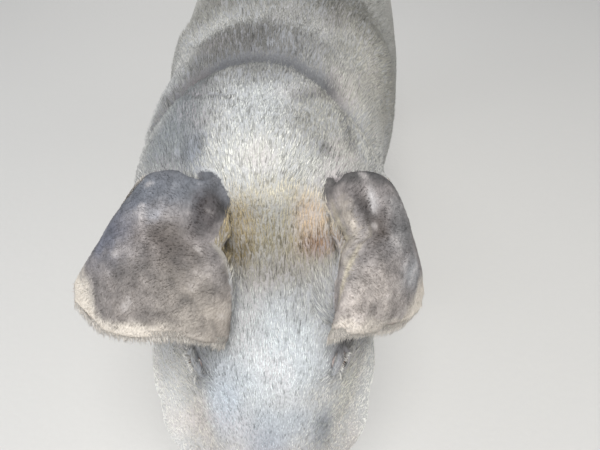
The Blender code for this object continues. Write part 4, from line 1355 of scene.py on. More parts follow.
    def over(self, base: Array, share: Array, colour: Sequence[float]) -> Array:
        """Lays one colour over others."""
        share = np.clip(share, 0, 1)[:, None]
        return base * (1 - share) + np.array(colour) * share

    @staticmethod
    def spot(patch: Patch, along: Array, across: Array, ragged: Array) -> Array:
        """Says how strongly a patch marks each place, with a ragged edge."""
        far_along = (along - patch.along) / patch.reach_along
        far = np.hypot(far_along, (across - patch.across) / patch.reach_across)
        return valley(np.maximum(far + ragged, 0) ** 1.5, 1.0) * patch.strength

    def hair(self, points: Array, region: Array, ear: Array) -> Array:
        """Gives the bristle's colour.

        Args:
            points: Where it grows.
            region: Region number of each point.
            ear: Length share, width share and face on the ear.

        Returns:
            A linear colour for each point.
        """
        colour = np.tile(np.array(self.bristle), (len(points), 1))
        t, x, h = HEAD.measures(points)
        broad = cloudy(points, 5)
        fine = cloudy(points, 30, 2.0)
        below = ramp(-points[:, 1], -0.05, 0.0) * ramp(-points[:, 2], -0.62, -0.45)
        colour = self.over(colour, below * 0.5, self.cream)
        behind = ramp(points[:, 1], -0.25, -0.10) * 0.82
        colour = self.over(colour, behind * (region != Region.HEAD), self.trunk)
        on_neck = ramp(points[:, 2], 0.60, 0.68) * ramp(-points[:, 1], -0.10, 0.0)
        for patch in self.neck_patches:
            mark = self.spot(patch, points[:, 1], points[:, 0], 0.22 * fine + 0.15 * broad)
            colour = self.over(colour, mark * on_neck, patch.colour)
        # Painted shade: the hair darkens along the neck's creases.
        for crease in CREASES:
            colour = self.over(colour, crease.nearness(points) * crease.shade, self.shadow)
        on_head = (t > 0.0) & (points[:, 1] < -0.45)
        cheek = on_head * ramp(np.abs(x), 0.105, 0.14) * ramp(-h, -0.02, 0.04)
        colour = self.over(colour, cheek * 0.88, self.cheek)
        for patch in self.patches:
            mark = self.spot(patch, t, x, 0.28 * fine) * on_head * ramp(h, -0.02, 0.03)
            colour = self.over(colour, mark, patch.colour)
        low = ramp(-points[:, 2], -0.30, -0.06) * (0.5 + 0.35 * broad)
        belly = ramp(-points[:, 2], -0.40, -0.30) * 0.30
        colour = self.over(colour, np.maximum(low, belly) * (region != Region.HEAD), self.dirt)
        soiled = ramp(broad * 0.6 + fine * 0.5, 0.15, 0.75) * ramp(points[:, 1], -0.1, 0.5) * 0.30
        colour = self.over(colour, soiled, self.dirt)
        colour *= (1 + 0.10 * broad + 0.08 * fine)[:, None]
        on = region == Region.EAR
        colour[on] = self.ear_hair(points[on], ear[on])
        return np.clip(colour, 0.01, 0.95)

    def ear_hair(self, points: Array, ear: Array) -> Array:
        """Gives the colour of the hair on the ears.

        Args:
            points: Where it grows.
            ear: Length share, width share and face on the ear.

        Returns:
            A linear colour for each point.
        """
        u, v, face = ear.T
        blot = cloudy(points, 48, 9.0)
        speck = cloudy(points, 130, 3.0)
        colour = np.tile(np.array(self.ear_dark), (len(points), 1))
        colour = self.over(colour, ramp(blot + 0.4 * speck, -0.2, 0.7) * 0.40, self.ear_mottle)
        left = points[:, 0] > 0.02
        for side, patches in self.ear_patches.items():
            mine = left == (side > 0)
            for patch in patches:
                mark = self.spot(patch, u, v, 0.24 * blot + 0.08 * speck) * mine
                colour = self.over(colour, mark, patch.colour)
        lump = cloudy(points, 42, 6.0) + 0.7 * cloudy(points, 95, 2.0)
        colour = colour * (0.95 + 0.52 * lump)[:, None]
        colour = self.over(colour, ramp(lump, 0.45, 0.85) * 0.45, self.ear_lump)
        outer = np.where(left, 0.75, ramp(u, 0.42, 0.60))
        colour = self.over(colour, ramp(v + 0.06 * blot, 0.80, 0.96) * 0.80 * outer, self.ear_rim)
        colour = self.over(colour, ramp(u + 0.05 * v + 0.04 * blot, 0.83, 0.93) * 0.95, self.ear_rim)
        return self.over(colour, (face < 0) * ramp(u, 0.18, 0.30) * 0.5, self.ear_under)

    def skin(self, points: Array, region: Array, ear: Array) -> Array:
        """Gives the skin's colour under the bristle.

        Args:
            points: Where it is.
            region: Region number of each point.
            ear: Length share, width share and face on the ear.

        Returns:
            A linear colour for each point.
        """
        above = self.hair(points, region, ear)
        blot = cloudy(points, 14, 5.0)
        colour = np.tile(np.array(self.slate), (len(points), 1))
        colour = self.over(colour, ramp(blot, 0.0, 0.7) * 0.45, self.pink)
        disc = ramp(HEAD.measures(points)[0], 0.456, 0.464) * (points[:, 1] < -0.6)
        colour = self.over(colour, disc * 0.85, self.snout_disc)
        for side in (1, -1):
            nostril = HEAD.turned(HEAD.point(0.472, side * 0.0230, 0.004))
            near = valley(np.linalg.norm(points - nostril, axis=1), 0.012)
            colour = self.over(colour, near * 0.8, self.nostril)
        colour = self.over(colour, self.udder(points) * 0.7, self.teats)
        tint = 0.42 + 0.56 * ramp(points[:, 1], -0.26, 0.10)
        share = np.where(region == Region.EAR, 0.93, tint)
        colour = self.blend(colour, above, share * (1 - disc))
        # Painted shade: the skin darkens along the neck's creases.
        for crease in CREASES:
            colour = colour * (1 - crease.shade * crease.nearness(points))[:, None]
        return colour

    @staticmethod
    def udder(points: Array) -> Array:
        """Says how fully each point belongs to the bare teats between the legs."""
        between = ramp(points[:, 1], -0.10, -0.08) * ramp(-points[:, 1], -0.54, -0.50)
        return ramp(-points[:, 2], -0.330, -0.305) * between * (np.abs(points[:, 0]) < 0.115)

    @staticmethod
    def blend(colour: Array, above: Array, share: Array) -> Array:
        """Lets the coat's own colour tint the skin."""
        return np.clip(colour * (1 - share[:, None]) + above * share[:, None], 0.01, 0.95)


MARKINGS = Markings()


def set_colours(mesh: Mesh, colours: Array) -> None:
    """Stores a colour for each vertex as the layer that the finishes read.

    Args:
        mesh: The mesh.
        colours: A linear colour for each vertex.
    """
    layer = mesh.color_attributes.new("markings", "FLOAT_COLOR", "POINT")
    filled = np.ones((len(colours), 4), np.float32)
    filled[:, :3] = colours
    layer.data.foreach_set("color", filled.ravel())


def wired(name: str) -> tuple[Material, Nodes, Links, Node]:
    """Makes a material with a principled shader.

    Args:
        name: Its name.

    Returns:
        The material, its nodes, its links and the shader.
    """
    made = bpy.data.materials.new(name)
    made.use_nodes = True
    tree = made.node_tree
    return made, tree.nodes, tree.links, tree.nodes["Principled BSDF"]


def noise_node(
    nodes: Nodes, links: Links, scale: float, detail: float, stretch: Sequence[float]
) -> Socket:
    """Adds noise in the object's own space.

    Args:
        nodes: The material's nodes.
        links: Its links.
        scale: Lumps in a metre.
        detail: Octaves.
        stretch: Scale along each axis.

    Returns:
        The noise's output.
    """
    where = nodes.new("ShaderNodeTexCoord")
    mapping = nodes.new("ShaderNodeMapping")
    mapping.inputs["Scale"].default_value = tuple(stretch)
    links.new(where.outputs["Object"], mapping.inputs["Vector"])
    made = nodes.new("ShaderNodeTexNoise")
    made.inputs["Scale"].default_value = scale
    made.inputs["Detail"].default_value = detail
    links.new(mapping.outputs["Vector"], made.inputs["Vector"])
    return made.outputs["Fac"]


def ramp_node(
    nodes: Nodes, links: Links, source: Socket, low: float, high: float, to_low: float, to_high: float
) -> Socket:
    """Maps one range of numbers to another.

    Args:
        nodes: The material's nodes.
        links: Its links.
        source: The number.
        low: Start of its range.
        high: End of its range.
        to_low: What low becomes.
        to_high: What high becomes.

    Returns:
        The mapped output.
    """
    made = nodes.new("ShaderNodeMapRange")
    for key, value in (("From Min", low), ("From Max", high), ("To Min", to_low), ("To Max", to_high)):
        made.inputs[key].default_value = value
    links.new(source, made.inputs["Value"])
    return made.outputs["Result"]


def marked(nodes: Nodes, links: Links, tint: Socket, shader: Node) -> None:
    """Sets the shader's colour to the markings times a tint.

    Args:
        nodes: The material's nodes.
        links: Its links.
        tint: The tint, about 1.
        shader: The shader.
    """
    marks = nodes.new("ShaderNodeAttribute")
    marks.attribute_name = "markings"
    shade = nodes.new("ShaderNodeMix")
    shade.data_type = "RGBA"
    shade.blend_type = "MULTIPLY"
    shade.inputs["Factor"].default_value = 1.0
    links.new(marks.outputs["Color"], shade.inputs[6])
    links.new(tint, shade.inputs[7])
    links.new(shade.outputs[2], shader.inputs["Base Color"])


def bumped(
    nodes: Nodes, links: Links, heights: Sequence[tuple[Socket, float]], shader: Node
) -> None:
    """Chains height patterns into the shader's normal.

    Args:
        nodes: The material's nodes.
        links: Its links.
        heights: Each pattern with its depth in metres.
        shader: The shader.
    """
    last = None
    for source, depth in heights:
        made = nodes.new("ShaderNodeBump")
        made.inputs["Distance"].default_value = depth
        made.inputs["Strength"].default_value = 1.0
        links.new(source, made.inputs["Height"])
        if last:
            links.new(last, made.inputs["Normal"])
        last = made.outputs["Normal"]
    links.new(last, shader.inputs["Normal"])


@dataclass(frozen=True)
class HideFinish:
    """Skin with pores, fine creases and the flat under-fur as streaks."""

    roughness: float = 0.58
    specular: float = 0.38
    pore_scale: float = 520.0
    pore_depth: float = 0.0006
    streak_depth: float = 0.0011

    def material(self) -> Material:
        """Makes the material."""
        made, nodes, links, shader = wired("hide")
        shader.inputs["Roughness"].default_value = self.roughness
        shader.inputs["Specular IOR Level"].default_value = self.specular
        flecks = noise_node(nodes, links, 420, 4, (1, 0.35, 1))
        marked(nodes, links, ramp_node(nodes, links, flecks, 0.32, 0.68, 0.78, 1.18), shader)
        pores = noise_node(nodes, links, self.pore_scale, 3, (1, 1, 1))
        streaks = noise_node(nodes, links, 260, 3, (1, 0.22, 1))
        bumped(nodes, links, ((streaks, self.streak_depth), (pores, self.pore_depth)), shader)
        return made


@dataclass(frozen=True)
class BristleFinish:
    """Dull white hair, a little glossy along its length."""

    roughness: float = 0.50
    specular: float = 0.42

    def material(self) -> Material:
        """Makes the material."""
        made, nodes, links, shader = wired("bristle")
        shader.inputs["Roughness"].default_value = self.roughness
        shader.inputs["Specular IOR Level"].default_value = self.specular
        blots = noise_node(nodes, links, 90, 2, (1, 1, 1))
        marked(nodes, links, ramp_node(nodes, links, blots, 0.3, 0.7, 0.90, 1.08), shader)
        return made


@dataclass(frozen=True)
class HornFinish:
    """Claw horn with growth rings, fine grain and pale scuffs."""

    dark: Triple = (0.115, 0.095, 0.080)
    pale: Triple = (0.32, 0.26, 0.20)
    roughness: float = 0.46

    def material(self) -> Material:
        """Makes the material."""
        made, nodes, links, shader = wired("horn")
        shader.inputs["Roughness"].default_value = self.roughness
        blot = noise_node(nodes, links, 70, 4, (1, 1, 0.35))
        mix = nodes.new("ShaderNodeMix")
        mix.data_type = "RGBA"
        mix.inputs[6].default_value = (*self.dark, 1)
        mix.inputs[7].default_value = (*self.pale, 1)
        links.new(ramp_node(nodes, links, blot, 0.35, 0.70, 0.0, 1.0), mix.inputs["Factor"])
        links.new(mix.outputs[2], shader.inputs["Base Color"])
        rings = noise_node(nodes, links, 60, 2, (0.6, 0.6, 9.0))
        grain = noise_node(nodes, links, 380, 3, (1, 1, 0.15))
        bumped(nodes, links, ((rings, 0.0014), (grain, 0.0006)), shader)
        return made


@dataclass(frozen=True)
class EyeFinish:
    """A wet brown eye: pupil, fibrous iris and a dull rim of white, read along the eye's own axis."""

    pupil: Triple = (0.004, 0.004, 0.005)
    iris: Triple = (0.095, 0.050, 0.026)
    limbus: Triple = (0.018, 0.011, 0.009)
    white: Triple = (0.46, 0.37, 0.34)

    def material(self) -> Material:
        """Makes the material."""
        made, nodes, links, shader = wired("eye")
        shader.inputs["Roughness"].default_value = 0.12
        shader.inputs["Coat Weight"].default_value = 1.0
        shader.inputs["Coat Roughness"].default_value = 0.02
        where = nodes.new("ShaderNodeTexCoord")
        split = nodes.new("ShaderNodeSeparateXYZ")
        links.new(where.outputs["Generated"], split.inputs[0])
        fibres = noise_node(nodes, links, 900, 3, (1, 1, 0.1))
        wander = ramp_node(nodes, links, fibres, 0.3, 0.7, -0.012, 0.012)
        add = nodes.new("ShaderNodeMath")
        add.operation = "ADD"
        links.new(split.outputs["Z"], add.inputs[0])
        links.new(wander, add.inputs[1])
        bands = nodes.new("ShaderNodeValToRGB")
        ramp_stops = bands.color_ramp
        ramp_stops.elements[0].position = 0.80
        ramp_stops.elements[0].color = (*self.white, 1)
        ramp_stops.elements[1].position = 0.825
        ramp_stops.elements[1].color = (*self.limbus, 1)
        for place, colour in ((0.86, self.iris), (0.945, self.iris), (0.962, self.pupil)):
            ramp_stops.elements.new(place).color = (*colour, 1)
        links.new(add.outputs[0], bands.inputs["Fac"])
        links.new(bands.outputs["Color"], shader.inputs["Base Color"])
        return made


@dataclass
class Tufts:
    """Tufts to grow: their roots and how each one lies."""

    roots: Array
    normals: Array
    ways: Array
    lengths: Array
    widths: Array
    lifts: Array
    colours: Array
    places: Array

    def part(self, chosen: Array) -> "Tufts":
        """Gives only the chosen tufts."""
        return Tufts(*(getattr(self, name)[chosen] for name in self.__dataclass_fields__))

    def mesh(self, name: str) -> Mesh:
        """Makes all tufts as one mesh of thin bending spikes with three sides.

        Args:
            name: The mesh's name.

        Returns:
            The mesh, with its colours and its map.
        """
        count = len(self.roots)
        n = self.normals
        way = unit(self.ways - n * (self.ways * n).sum(axis=1, keepdims=True))
        side = np.cross(n, way)
        long, wide, lift = self.lengths[:, None], self.widths[:, None], self.lifts[:, None]
        points = np.empty((count, 7, 3))
        for ring, (share, thick) in enumerate(((0.0, 1.0), (0.52, 0.80))):
            rise = -0.0012 if ring == 0 else long * lift * 0.60
            middle = self.roots + way * long * share + n * rise
            points[:, 3 * ring] = middle + side * wide * 0.5 * thick - n * wide * 0.12
            points[:, 3 * ring + 1] = middle - side * wide * 0.5 * thick - n * wide * 0.12
            points[:, 3 * ring + 2] = middle + n * wide * 0.34 * thick
        points[:, 6] = self.roots + way * long + n * long * lift * 0.92
        walls = [[0, 3, 4], [0, 4, 1], [1, 4, 5], [1, 5, 2], [2, 5, 3], [2, 3, 0]]
        pattern = np.array(walls + [[3, 6, 4], [4, 6, 5], [5, 6, 3]])
        corners = (pattern[None] + np.arange(count)[:, None, None] * 7).reshape(-1)
        mesh = bpy.data.meshes.new(name)
        mesh.vertices.add(count * 7)
        mesh.vertices.foreach_set("co", points.astype(np.float32).ravel())
        mesh.loops.add(len(corners))
        mesh.loops.foreach_set("vertex_index", corners.astype(np.int32))
        mesh.polygons.add(count * 9)
        mesh.polygons.foreach_set("loop_start", np.arange(0, len(corners), 3, dtype=np.int32))
        mesh.update(calc_edges=True)
        shade_smooth(mesh)
        # Painted shade at each tuft's root, where tufts crowd, and a painted highlight at its tip.
        root_shade_tip_light = np.array([0.62, 0.62, 0.62, 1.0, 1.0, 1.0, 1.12])
        colours = (self.colours[:, None, :] * root_shade_tip_light[None, :, None]).reshape(-1, 3)
        set_colours(mesh, colours.clip(0.005, 0.97))
        spots = np.array([[0, 0], [1, 0], [0.5, 0], [0, 0.5], [1, 0.5], [0.5, 0.6], [0.5, 1]])
        flat = (self.places[:, None, :] * 0.994 + spots[None] * 0.003).reshape(-1, 2)
        layer = mesh.uv_layers.new(name="OFBake")
        layer.uv.foreach_set("vector", flat[corners].astype(np.float32).ravel())
        return mesh


@dataclass(frozen=True)
class Lie:
    """How the coat of one region grows: tufts on a square metre, then length, width and lift."""

    density: float
    length: float
    width: float
    lift: float


@dataclass
class Coat:
    """The bristle over the whole skin."""

    skin: Thing
    flesh: Flesh
    seed: int = 11
    piece_tufts: int = 21500
    stray: float = 0.085
    swirl: float = 0.12
    rim_tufts: int = 2500
    lashes: int = 46
    tail_tufts: int = 620
    fringe_width: float = 0.0011
    rim_colour: Triple = (0.76, 0.71, 0.65)
    lash_colour: Triple = (0.84, 0.82, 0.78)
    tail_colour: Triple = (0.62, 0.56, 0.47)
    ear_maps: dict[int, EarMap] = field(default_factory=dict)
    lies: dict[Region, Lie] = field(
        default_factory=lambda: {
            Region.HEAD: Lie(100000, 0.0125, 0.00110, 0.16),
            Region.EAR: Lie(120000, 0.0060, 0.00080, 0.09),
            Region.NECK: Lie(96000, 0.0160, 0.00130, 0.14),
            Region.TRUNK: Lie(28000, 0.0200, 0.00235, 0.045),
            Region.LEG: Lie(30000, 0.0105, 0.00125, 0.10),
            Region.TAIL: Lie(50000, 0.0140, 0.00140, 0.22),
        }
    )

    @staticmethod
    def rearness(points: Array) -> Array:
        """Says how far the coat has turned from the neck's into the trunk's."""
        return ramp(points[:, 1], -0.26, 0.10)

    def triangles(self) -> tuple[Array, Array]:
        """Gives the skin's triangles and its vertex normals."""
        mesh = self.skin.data
        mesh.calc_loop_triangles()
        corners = np.empty(len(mesh.loop_triangles) * 3, np.int32)
        mesh.loop_triangles.foreach_get("vertices", corners)
        return corners.reshape(-1, 3), read_points(mesh, "normal")

    @staticmethod
    def regions(points: Array, ear_on: Array) -> Array:
        """Says which region each point belongs to.

        Args:
            points: The points.
            ear_on: Mask of those on an ear.

        Returns:
            The region's number for each.
        """
        y, z = points[:, 1], points[:, 2]
        found = np.full(len(points), int(Region.TRUNK))
        found[(y < -0.12) & (z > 0.40)] = Region.NECK
        found[z < 0.30] = Region.LEG
        found[(HEAD.measures(points)[0] > 0.015) & (y < -0.40)] = Region.HEAD
        found[y > 0.848] = Region.TAIL
        found[ear_on] = Region.EAR
        return found

    def ear_measures(self, points: Array, reach: float = 0.0085) -> tuple[Array, Array]:
        """Reads both ears' own measures.

        Args:
            points: The points.
            reach: How far from the ear's middle surface counts.

        Returns:
            Length share, width share and face for each point, and the mask of those on an ear.
        """
        measures = np.zeros((len(points), 3))
        on = np.zeros(len(points), bool)
        for side in (1, -1):
            found, here = self.ear_maps[side].read(points, reach)
            here &= found[:, 0] > 0.035
            measures[here] = found[here]
            on |= here
        return measures, on

    def ways(self, points: Array, region: Array, ear: Array) -> Array:
        """Gives the way that hair lies, before it is laid along the skin.

        Args:
            points: Where it grows.
            region: Region number of each.
            ear: Ear measures of each.

        Returns:
            A direction for each.
        """
        x = points[:, 0]
        way = np.zeros_like(points)
        way[:, 1] = 1.0
        way[:, 2] = -0.55 * ramp(np.abs(x), 0.08, 0.24)
        way[:, 0] = 0.04 * np.sign(x)
        legs = region == Region.LEG
        way[legs] = (0, 0.25, -1)
        out, ahead, up = (np.array(axis)[None] for axis in HEAD.axes(1))
        across = HEAD.measures(points)[1]
        head = region == Region.HEAD
        spread = np.sign(across) * ramp(np.abs(across), 0.02, 0.12) * 0.18
        sag = np.array((0, 0, 0.35))[None] * ramp(np.abs(across), 0.08, 0.14)[:, None]
        way[head] = (-ahead + up * 0.05 + out * spread[:, None] - sag)[head]
        rows, columns = self.ear_maps[1].points.shape[:2]
        for side in (1, -1):
            grid = self.ear_maps[side].points
            mine = (region == Region.EAR) & (np.sign(x - 0.02) == side)
            i = np.clip((ear[mine, 0] * (rows - 2)).astype(int), 0, rows - 2)
            j = np.clip(((ear[mine, 1] + 1) / 2 * (columns - 2)).astype(int), 0, columns - 2)
            along = grid[i + 1, j] - grid[i, j]
            across = (grid[i, j + 1] - grid[i, j]) * (columns / rows)
            way[mine] = unit(along) + unit(across) * ear[mine, 1:2] * 0.9
        tail = region == Region.TAIL
        path, _ = self.flesh.tail_path(90)
        line = np.array([tuple(p) for p in path])
        nearest = ((points[tail][:, None] - line[None]) ** 2).sum(axis=2).argmin(axis=1)
        way[tail] = line[np.minimum(nearest + 2, 89)] - line[np.maximum(nearest - 1, 0)]
        return unit(way)

    @staticmethod
    def places(points: Array, region: Array, ear: Array) -> Array:
        """Unwraps roots: round and along the body, and by length and width on the ears.

        Args:
            points: The roots.
            region: Region number of each.
            ear: Ear measures of each.

        Returns:
            A place from 0 to 1 both ways for each.
        """
        turn = np.arctan2(points[:, 0], points[:, 2] - 0.58) / (2 * math.pi) + 0.5
        along = (points[:, 1] + 0.95) / 1.95
        legs = region == Region.LEG
        side = (points[:, 0] > 0) * 0.5
        hind = (points[:, 1] > 0.15) * 0.5
        foot = np.where(points[:, 1] > 0.15, 0.60, -0.20)
        round_leg = np.arctan2(np.abs(points[:, 0]) - 0.137, points[:, 1] - foot) / (2 * math.pi) + 0.5
        turn = np.where(legs, side + 0.5 * round_leg, turn)
        along = np.where(legs, hind + 0.5 * points[:, 2] / 0.32, along)
        ears = region == Region.EAR
        turn = np.where(ears, side + 0.25 * (ear[:, 1] + 1), turn)
        along = np.where(ears, 0.5 * (ear[:, 2] > 0) + 0.5 * ear[:, 0], along)
        return np.stack([turn, along], axis=1).clip(0, 1)

    def sample(self) -> Tufts:
        """Scatters the tufts over the skin.

        Returns:
            Every tuft of the coat but the fringes.
        """
        rng = np.random.default_rng(self.seed)
        corners, normals = self.triangles()
        points = read_points(self.skin.data)
        a, b, c = (points[corners[:, k]] for k in range(3))
        cross = np.cross(b - a, c - a)
        area = np.linalg.norm(cross, axis=1) / 2
        middle = (a + b + c) / 3
        ear, on = self.ear_measures(middle)
        region = self.regions(middle, on)
        density = np.zeros(len(area))
        for kind, lie in self.lies.items():
            density[region == kind] = lie.density
        body = np.isin(region, (Region.TRUNK, Region.NECK))
        under = 1 - 0.45 * ramp(-middle[:, 2], -0.62, -0.45)
        back = self.rearness(middle)
        dense, thin = self.lies[Region.NECK].density, self.lies[Region.TRUNK].density
        density[body] = ((dense * (1 - back) + thin * back) * (1 - (1 - under) * (1 - back)))[body]
        density *= 1 - ramp(HEAD.measures(middle)[0], 0.448, 0.460) * (middle[:, 1] < -0.6)
        density[middle[:, 2] < self.flesh.coronet + 0.0015] = 0
        density[MARKINGS.udder(middle) > 0.5] = 0
        for centre, _ in self.flesh.eyes.values():
            density *= ramp(np.linalg.norm(middle - np.array(centre), axis=1), 0.0165, 0.0215)
        count = rng.poisson(area * density)
        which = np.repeat(np.arange(len(area)), count)
        r1, r2 = np.sqrt(rng.random(len(which))), rng.random(len(which))
        shares = np.stack([1 - r1, r1 * (1 - r2), r1 * r2], axis=1)[..., None]
        roots = (np.stack([a[which], b[which], c[which]], axis=1) * shares).sum(axis=1)
        n = unit((normals[corners[which]] * shares).sum(axis=1))
        return self.dressed(rng, roots, n, region[which], ear[which])

    def dressed(
        self, rng: np.random.Generator, roots: Array, normals: Array, region: Array, ear: Array
    ) -> Tufts:
        """Gives scattered roots their lie, size and colour.

        Args:
            rng: Seeded chance.
            roots: The roots.
            normals: The skin's normals there.
            region: Region number of each.
            ear: Ear measures of each.

        Returns:
            The tufts.
        """
        count = len(roots)
        way = self.ways(roots, region, ear)
        swirl = np.stack([cloudy(roots, 38, k * 11.0) for k in range(3)], axis=1)
        stray = rng.normal(0, self.stray, (count, 3))
        rear = self.rearness(roots)[:, None]
        way = way + swirl * self.swirl * (1 - 0.75 * rear) + stray * (1 - 0.35 * rear)
        lies = [self.lies[kind] for kind in Region]
        table = np.array([[lie.length, lie.width, lie.lift] for lie in lies])
        sizes = table[region]
        body = np.isin(region, (Region.TRUNK, Region.NECK))
        sizes[body] = (table[Region.NECK] * (1 - rear) + table[Region.TRUNK] * rear)[body]
        length, width, lift = sizes.T
        length = length * rng.uniform(0.70, 1.25, count)
        t, across, _ = HEAD.measures(roots)
        head = region == Region.HEAD
        length[head] *= (1.10 - 0.62 * ramp(t, 0.16, 0.38))[head]
        length[head] *= (1 - 0.30 * ramp(np.abs(across), 0.09, 0.13))[head]
        foot = ramp(-roots[:, 2], -0.16, -0.06)
        length *= (1 - 0.30 * foot) * (1 - 0.50 * ramp(-roots[:, 2], -0.085, -0.060))
        lift = lift * rng.uniform(0.5, 1.5, count)
        width = width * rng.uniform(0.75, 1.3, count)
        colours = MARKINGS.hair(roots, region, ear)
        lane = cloudy(roots * np.array((1.0, 0.25, 0.25)), 150, 4.0)
        off_nape = np.hypot((roots[:, 0] - 0.01) / 0.11, (roots[:, 1] + 0.42) / 0.12)
        nape = valley(off_nape**2, 1.0) * ramp(roots[:, 2], 0.68, 0.74)
        on_face = 0.90 - 0.50 * ramp(np.abs(across), 0.10, 0.14)
        crisp = np.select([region == Region.EAR, head], [np.zeros(count), on_face], 0.30)
        crisp = np.maximum(crisp, nape * (region == Region.NECK))
        gap = rng.random(count) < crisp * (0.16 + 0.38 * ramp(lane, 0.05, 0.45))
        bright = (1 + rng.normal(0, 1, count) * (0.045 + 0.075 * crisp)).clip(0.65, 1.35)
        bright[gap] *= rng.uniform(0.42, 0.66, gap.sum())
        length *= 1 - 0.30 * nape
        lift *= 1 - 0.35 * (1 - crisp)
        colours = colours * bright[:, None]
        places = self.places(roots, region, ear)
        return Tufts(roots, normals, way, length, width, lift, colours, places)

    def fringe(self) -> Tufts:
        """Grows the fringes: ear rims, lashes, snout whiskers and the tail's end.

        Returns:
            The tufts.
        """
        rng = np.random.default_rng(self.seed + 1)
        roots, normals, ways, lengths, colours, places = [], [], [], [], [], []
        for side in (1, -1):
            grid = self.ear_maps[side].points
            rows, columns = grid.shape[:2]
            face = self.ear_maps[side].ear.normals(grid)
            for _ in range(self.rim_tufts):
                kind = rng.random()
                u = rng.uniform(0.16, 1.0) if kind < 0.72 else rng.uniform(0.45, 1.0)
                i = min(int(u * (rows - 1)), rows - 2)
                step = u * (rows - 1) - i
                j, k = (columns - 1, columns - 4) if kind < 0.72 else (0, 3)
                inward, onward = grid[i, k] - grid[i, j], grid[i + 1, j] - grid[i, j]
                out = -inward / np.linalg.norm(inward) + unit(onward[None])[0] * 0.45
                root = grid[i, j] + inward * rng.uniform(0.0, 0.7) + onward * step
                roots.append(root + face[i, j] * rng.uniform(-0.001, 0.001))
                normals.append(face[i, j])
                ways.append(out + rng.normal(0, 0.30, 3) + np.array((0, 0, -0.15)))
                lengths.append(rng.uniform(0.005, 0.015) * (0.75 + 0.35 * u))
                pale = rng.uniform(0.75, 1.15) * (0.62 + 0.38 * min(u / 0.6, 1))
                colours.append(np.array(self.rim_colour) * pale)
                places.append((0.5 * (side > 0) + 0.45 * u, 0.25 + 0.5 * (j > 0)))
        for side, (centre, normal) in self.flesh.eyes.items():
            along, across = self.flesh.eye_axes(side)
            for _ in range(self.lashes):
                a = rng.uniform(0.12, 0.88) * math.pi
                spoke = along * math.cos(a) + across * math.sin(a) * 0.66
                roots.append(centre + (spoke * 1.16 + normal * 0.86) * self.flesh.eye_radius)
                normals.append((normal * 0.4 - across * 0.4).normalized())
                astray = Vector(rng.normal(0, 0.10, 3))
                ways.append(normal + across * 0.25 + spoke * 0.5 + astray)
                lengths.append(rng.uniform(0.008, 0.014))
                colours.append(np.array(self.lash_colour) * rng.uniform(0.8, 1.05))
                places.append((0.5 + 0.2 * side, 0.1))
        path, radii = self.flesh.tail_path(90)
        for _ in range(self.tail_tufts):
            i = int(rng.uniform(62, 89.9))
            ahead = (path[min(i + 1, 89)] - path[i - 1]).normalized()
            spoke = Vector(rng.normal(0, 1, 3))
            spoke = (spoke - ahead * spoke.dot(ahead)).normalized()
            roots.append(path[i] + spoke * radii[i] * 0.8)
            normals.append(spoke)
            ways.append(ahead + Vector((0, 0, -0.55)) + Vector(rng.normal(0, 0.10, 3)))
            lengths.append(rng.uniform(0.022, 0.040) * (0.6 + 0.5 * (i - 62) / 28))
            colours.append(np.array(self.tail_colour) * rng.uniform(0.7, 1.2))
            places.append((rng.random(), 0.9))
        count = len(roots)
        return Tufts(
            np.array(roots, float),
            unit(np.array(normals, float)),
            np.array(ways, float),
            np.array(lengths),
            self.fringe_width * rng.uniform(0.7, 1.2, count),
            rng.uniform(0.02, 0.16, count),
            np.array(colours),
            np.array(places).clip(0, 1),
        )

    def build(self) -> list[Thing]:
        """Grows the coat.

        Returns:
            Its pieces, before they are moved to their place.
        """
        self.ear_maps = {side: EarMap(EARS[side]) for side in (1, -1)}
        finish = BristleFinish().material()
        tufts = self.sample()
        order = np.argsort(tufts.roots[:, 1])
        made = []
        pieces = math.ceil(len(order) / self.piece_tufts)
        for number, chosen in enumerate(np.array_split(order, pieces), 1):
            made.append(linked(f"coat_{number}", tufts.part(chosen).mesh("coat")))
        made.append(linked("coat_fringe", self.fringe().mesh("coat_fringe")))
        for obj in made:
            obj.data.materials.append(finish)
        LOG.info("coat: %d tufts in %d pieces", len(order), len(made))
        return made


@dataclass
class Eyes:
    """Both eyeballs, looking out of their lids."""

    flesh: Flesh
    cornea: float = 0.0009

    def build(self) -> list[tuple[Thing, str]]:
        """Makes the eyeballs.

        Returns:
            Each with the node that it stands for.
        """
        finish = EyeFinish().material()
        made = []
        for side, word in SIDES:
            centre, normal = self.flesh.eyes[side]
            radius = self.flesh.eye_radius
            mesh = ball((0, 0, 0), (radius, radius, radius), None, 48)
            points = read_points(mesh)
            off_axis = np.arctan2(np.hypot(points[:, 0], points[:, 1]), points[:, 2])
            bulge = valley(off_axis, 0.55) * self.cornea
            write_points(mesh, points * (1 + bulge / radius)[:, None])
            obj = linked(f"eyeball_{word}", mesh)
            look = normal.to_track_quat("Z", "Y").to_matrix().to_4x4()
            obj.matrix_world = Matrix.Translation(centre) @ look
            mesh.materials.append(finish)
            made.append((obj, f"eye_{word}"))
        return made


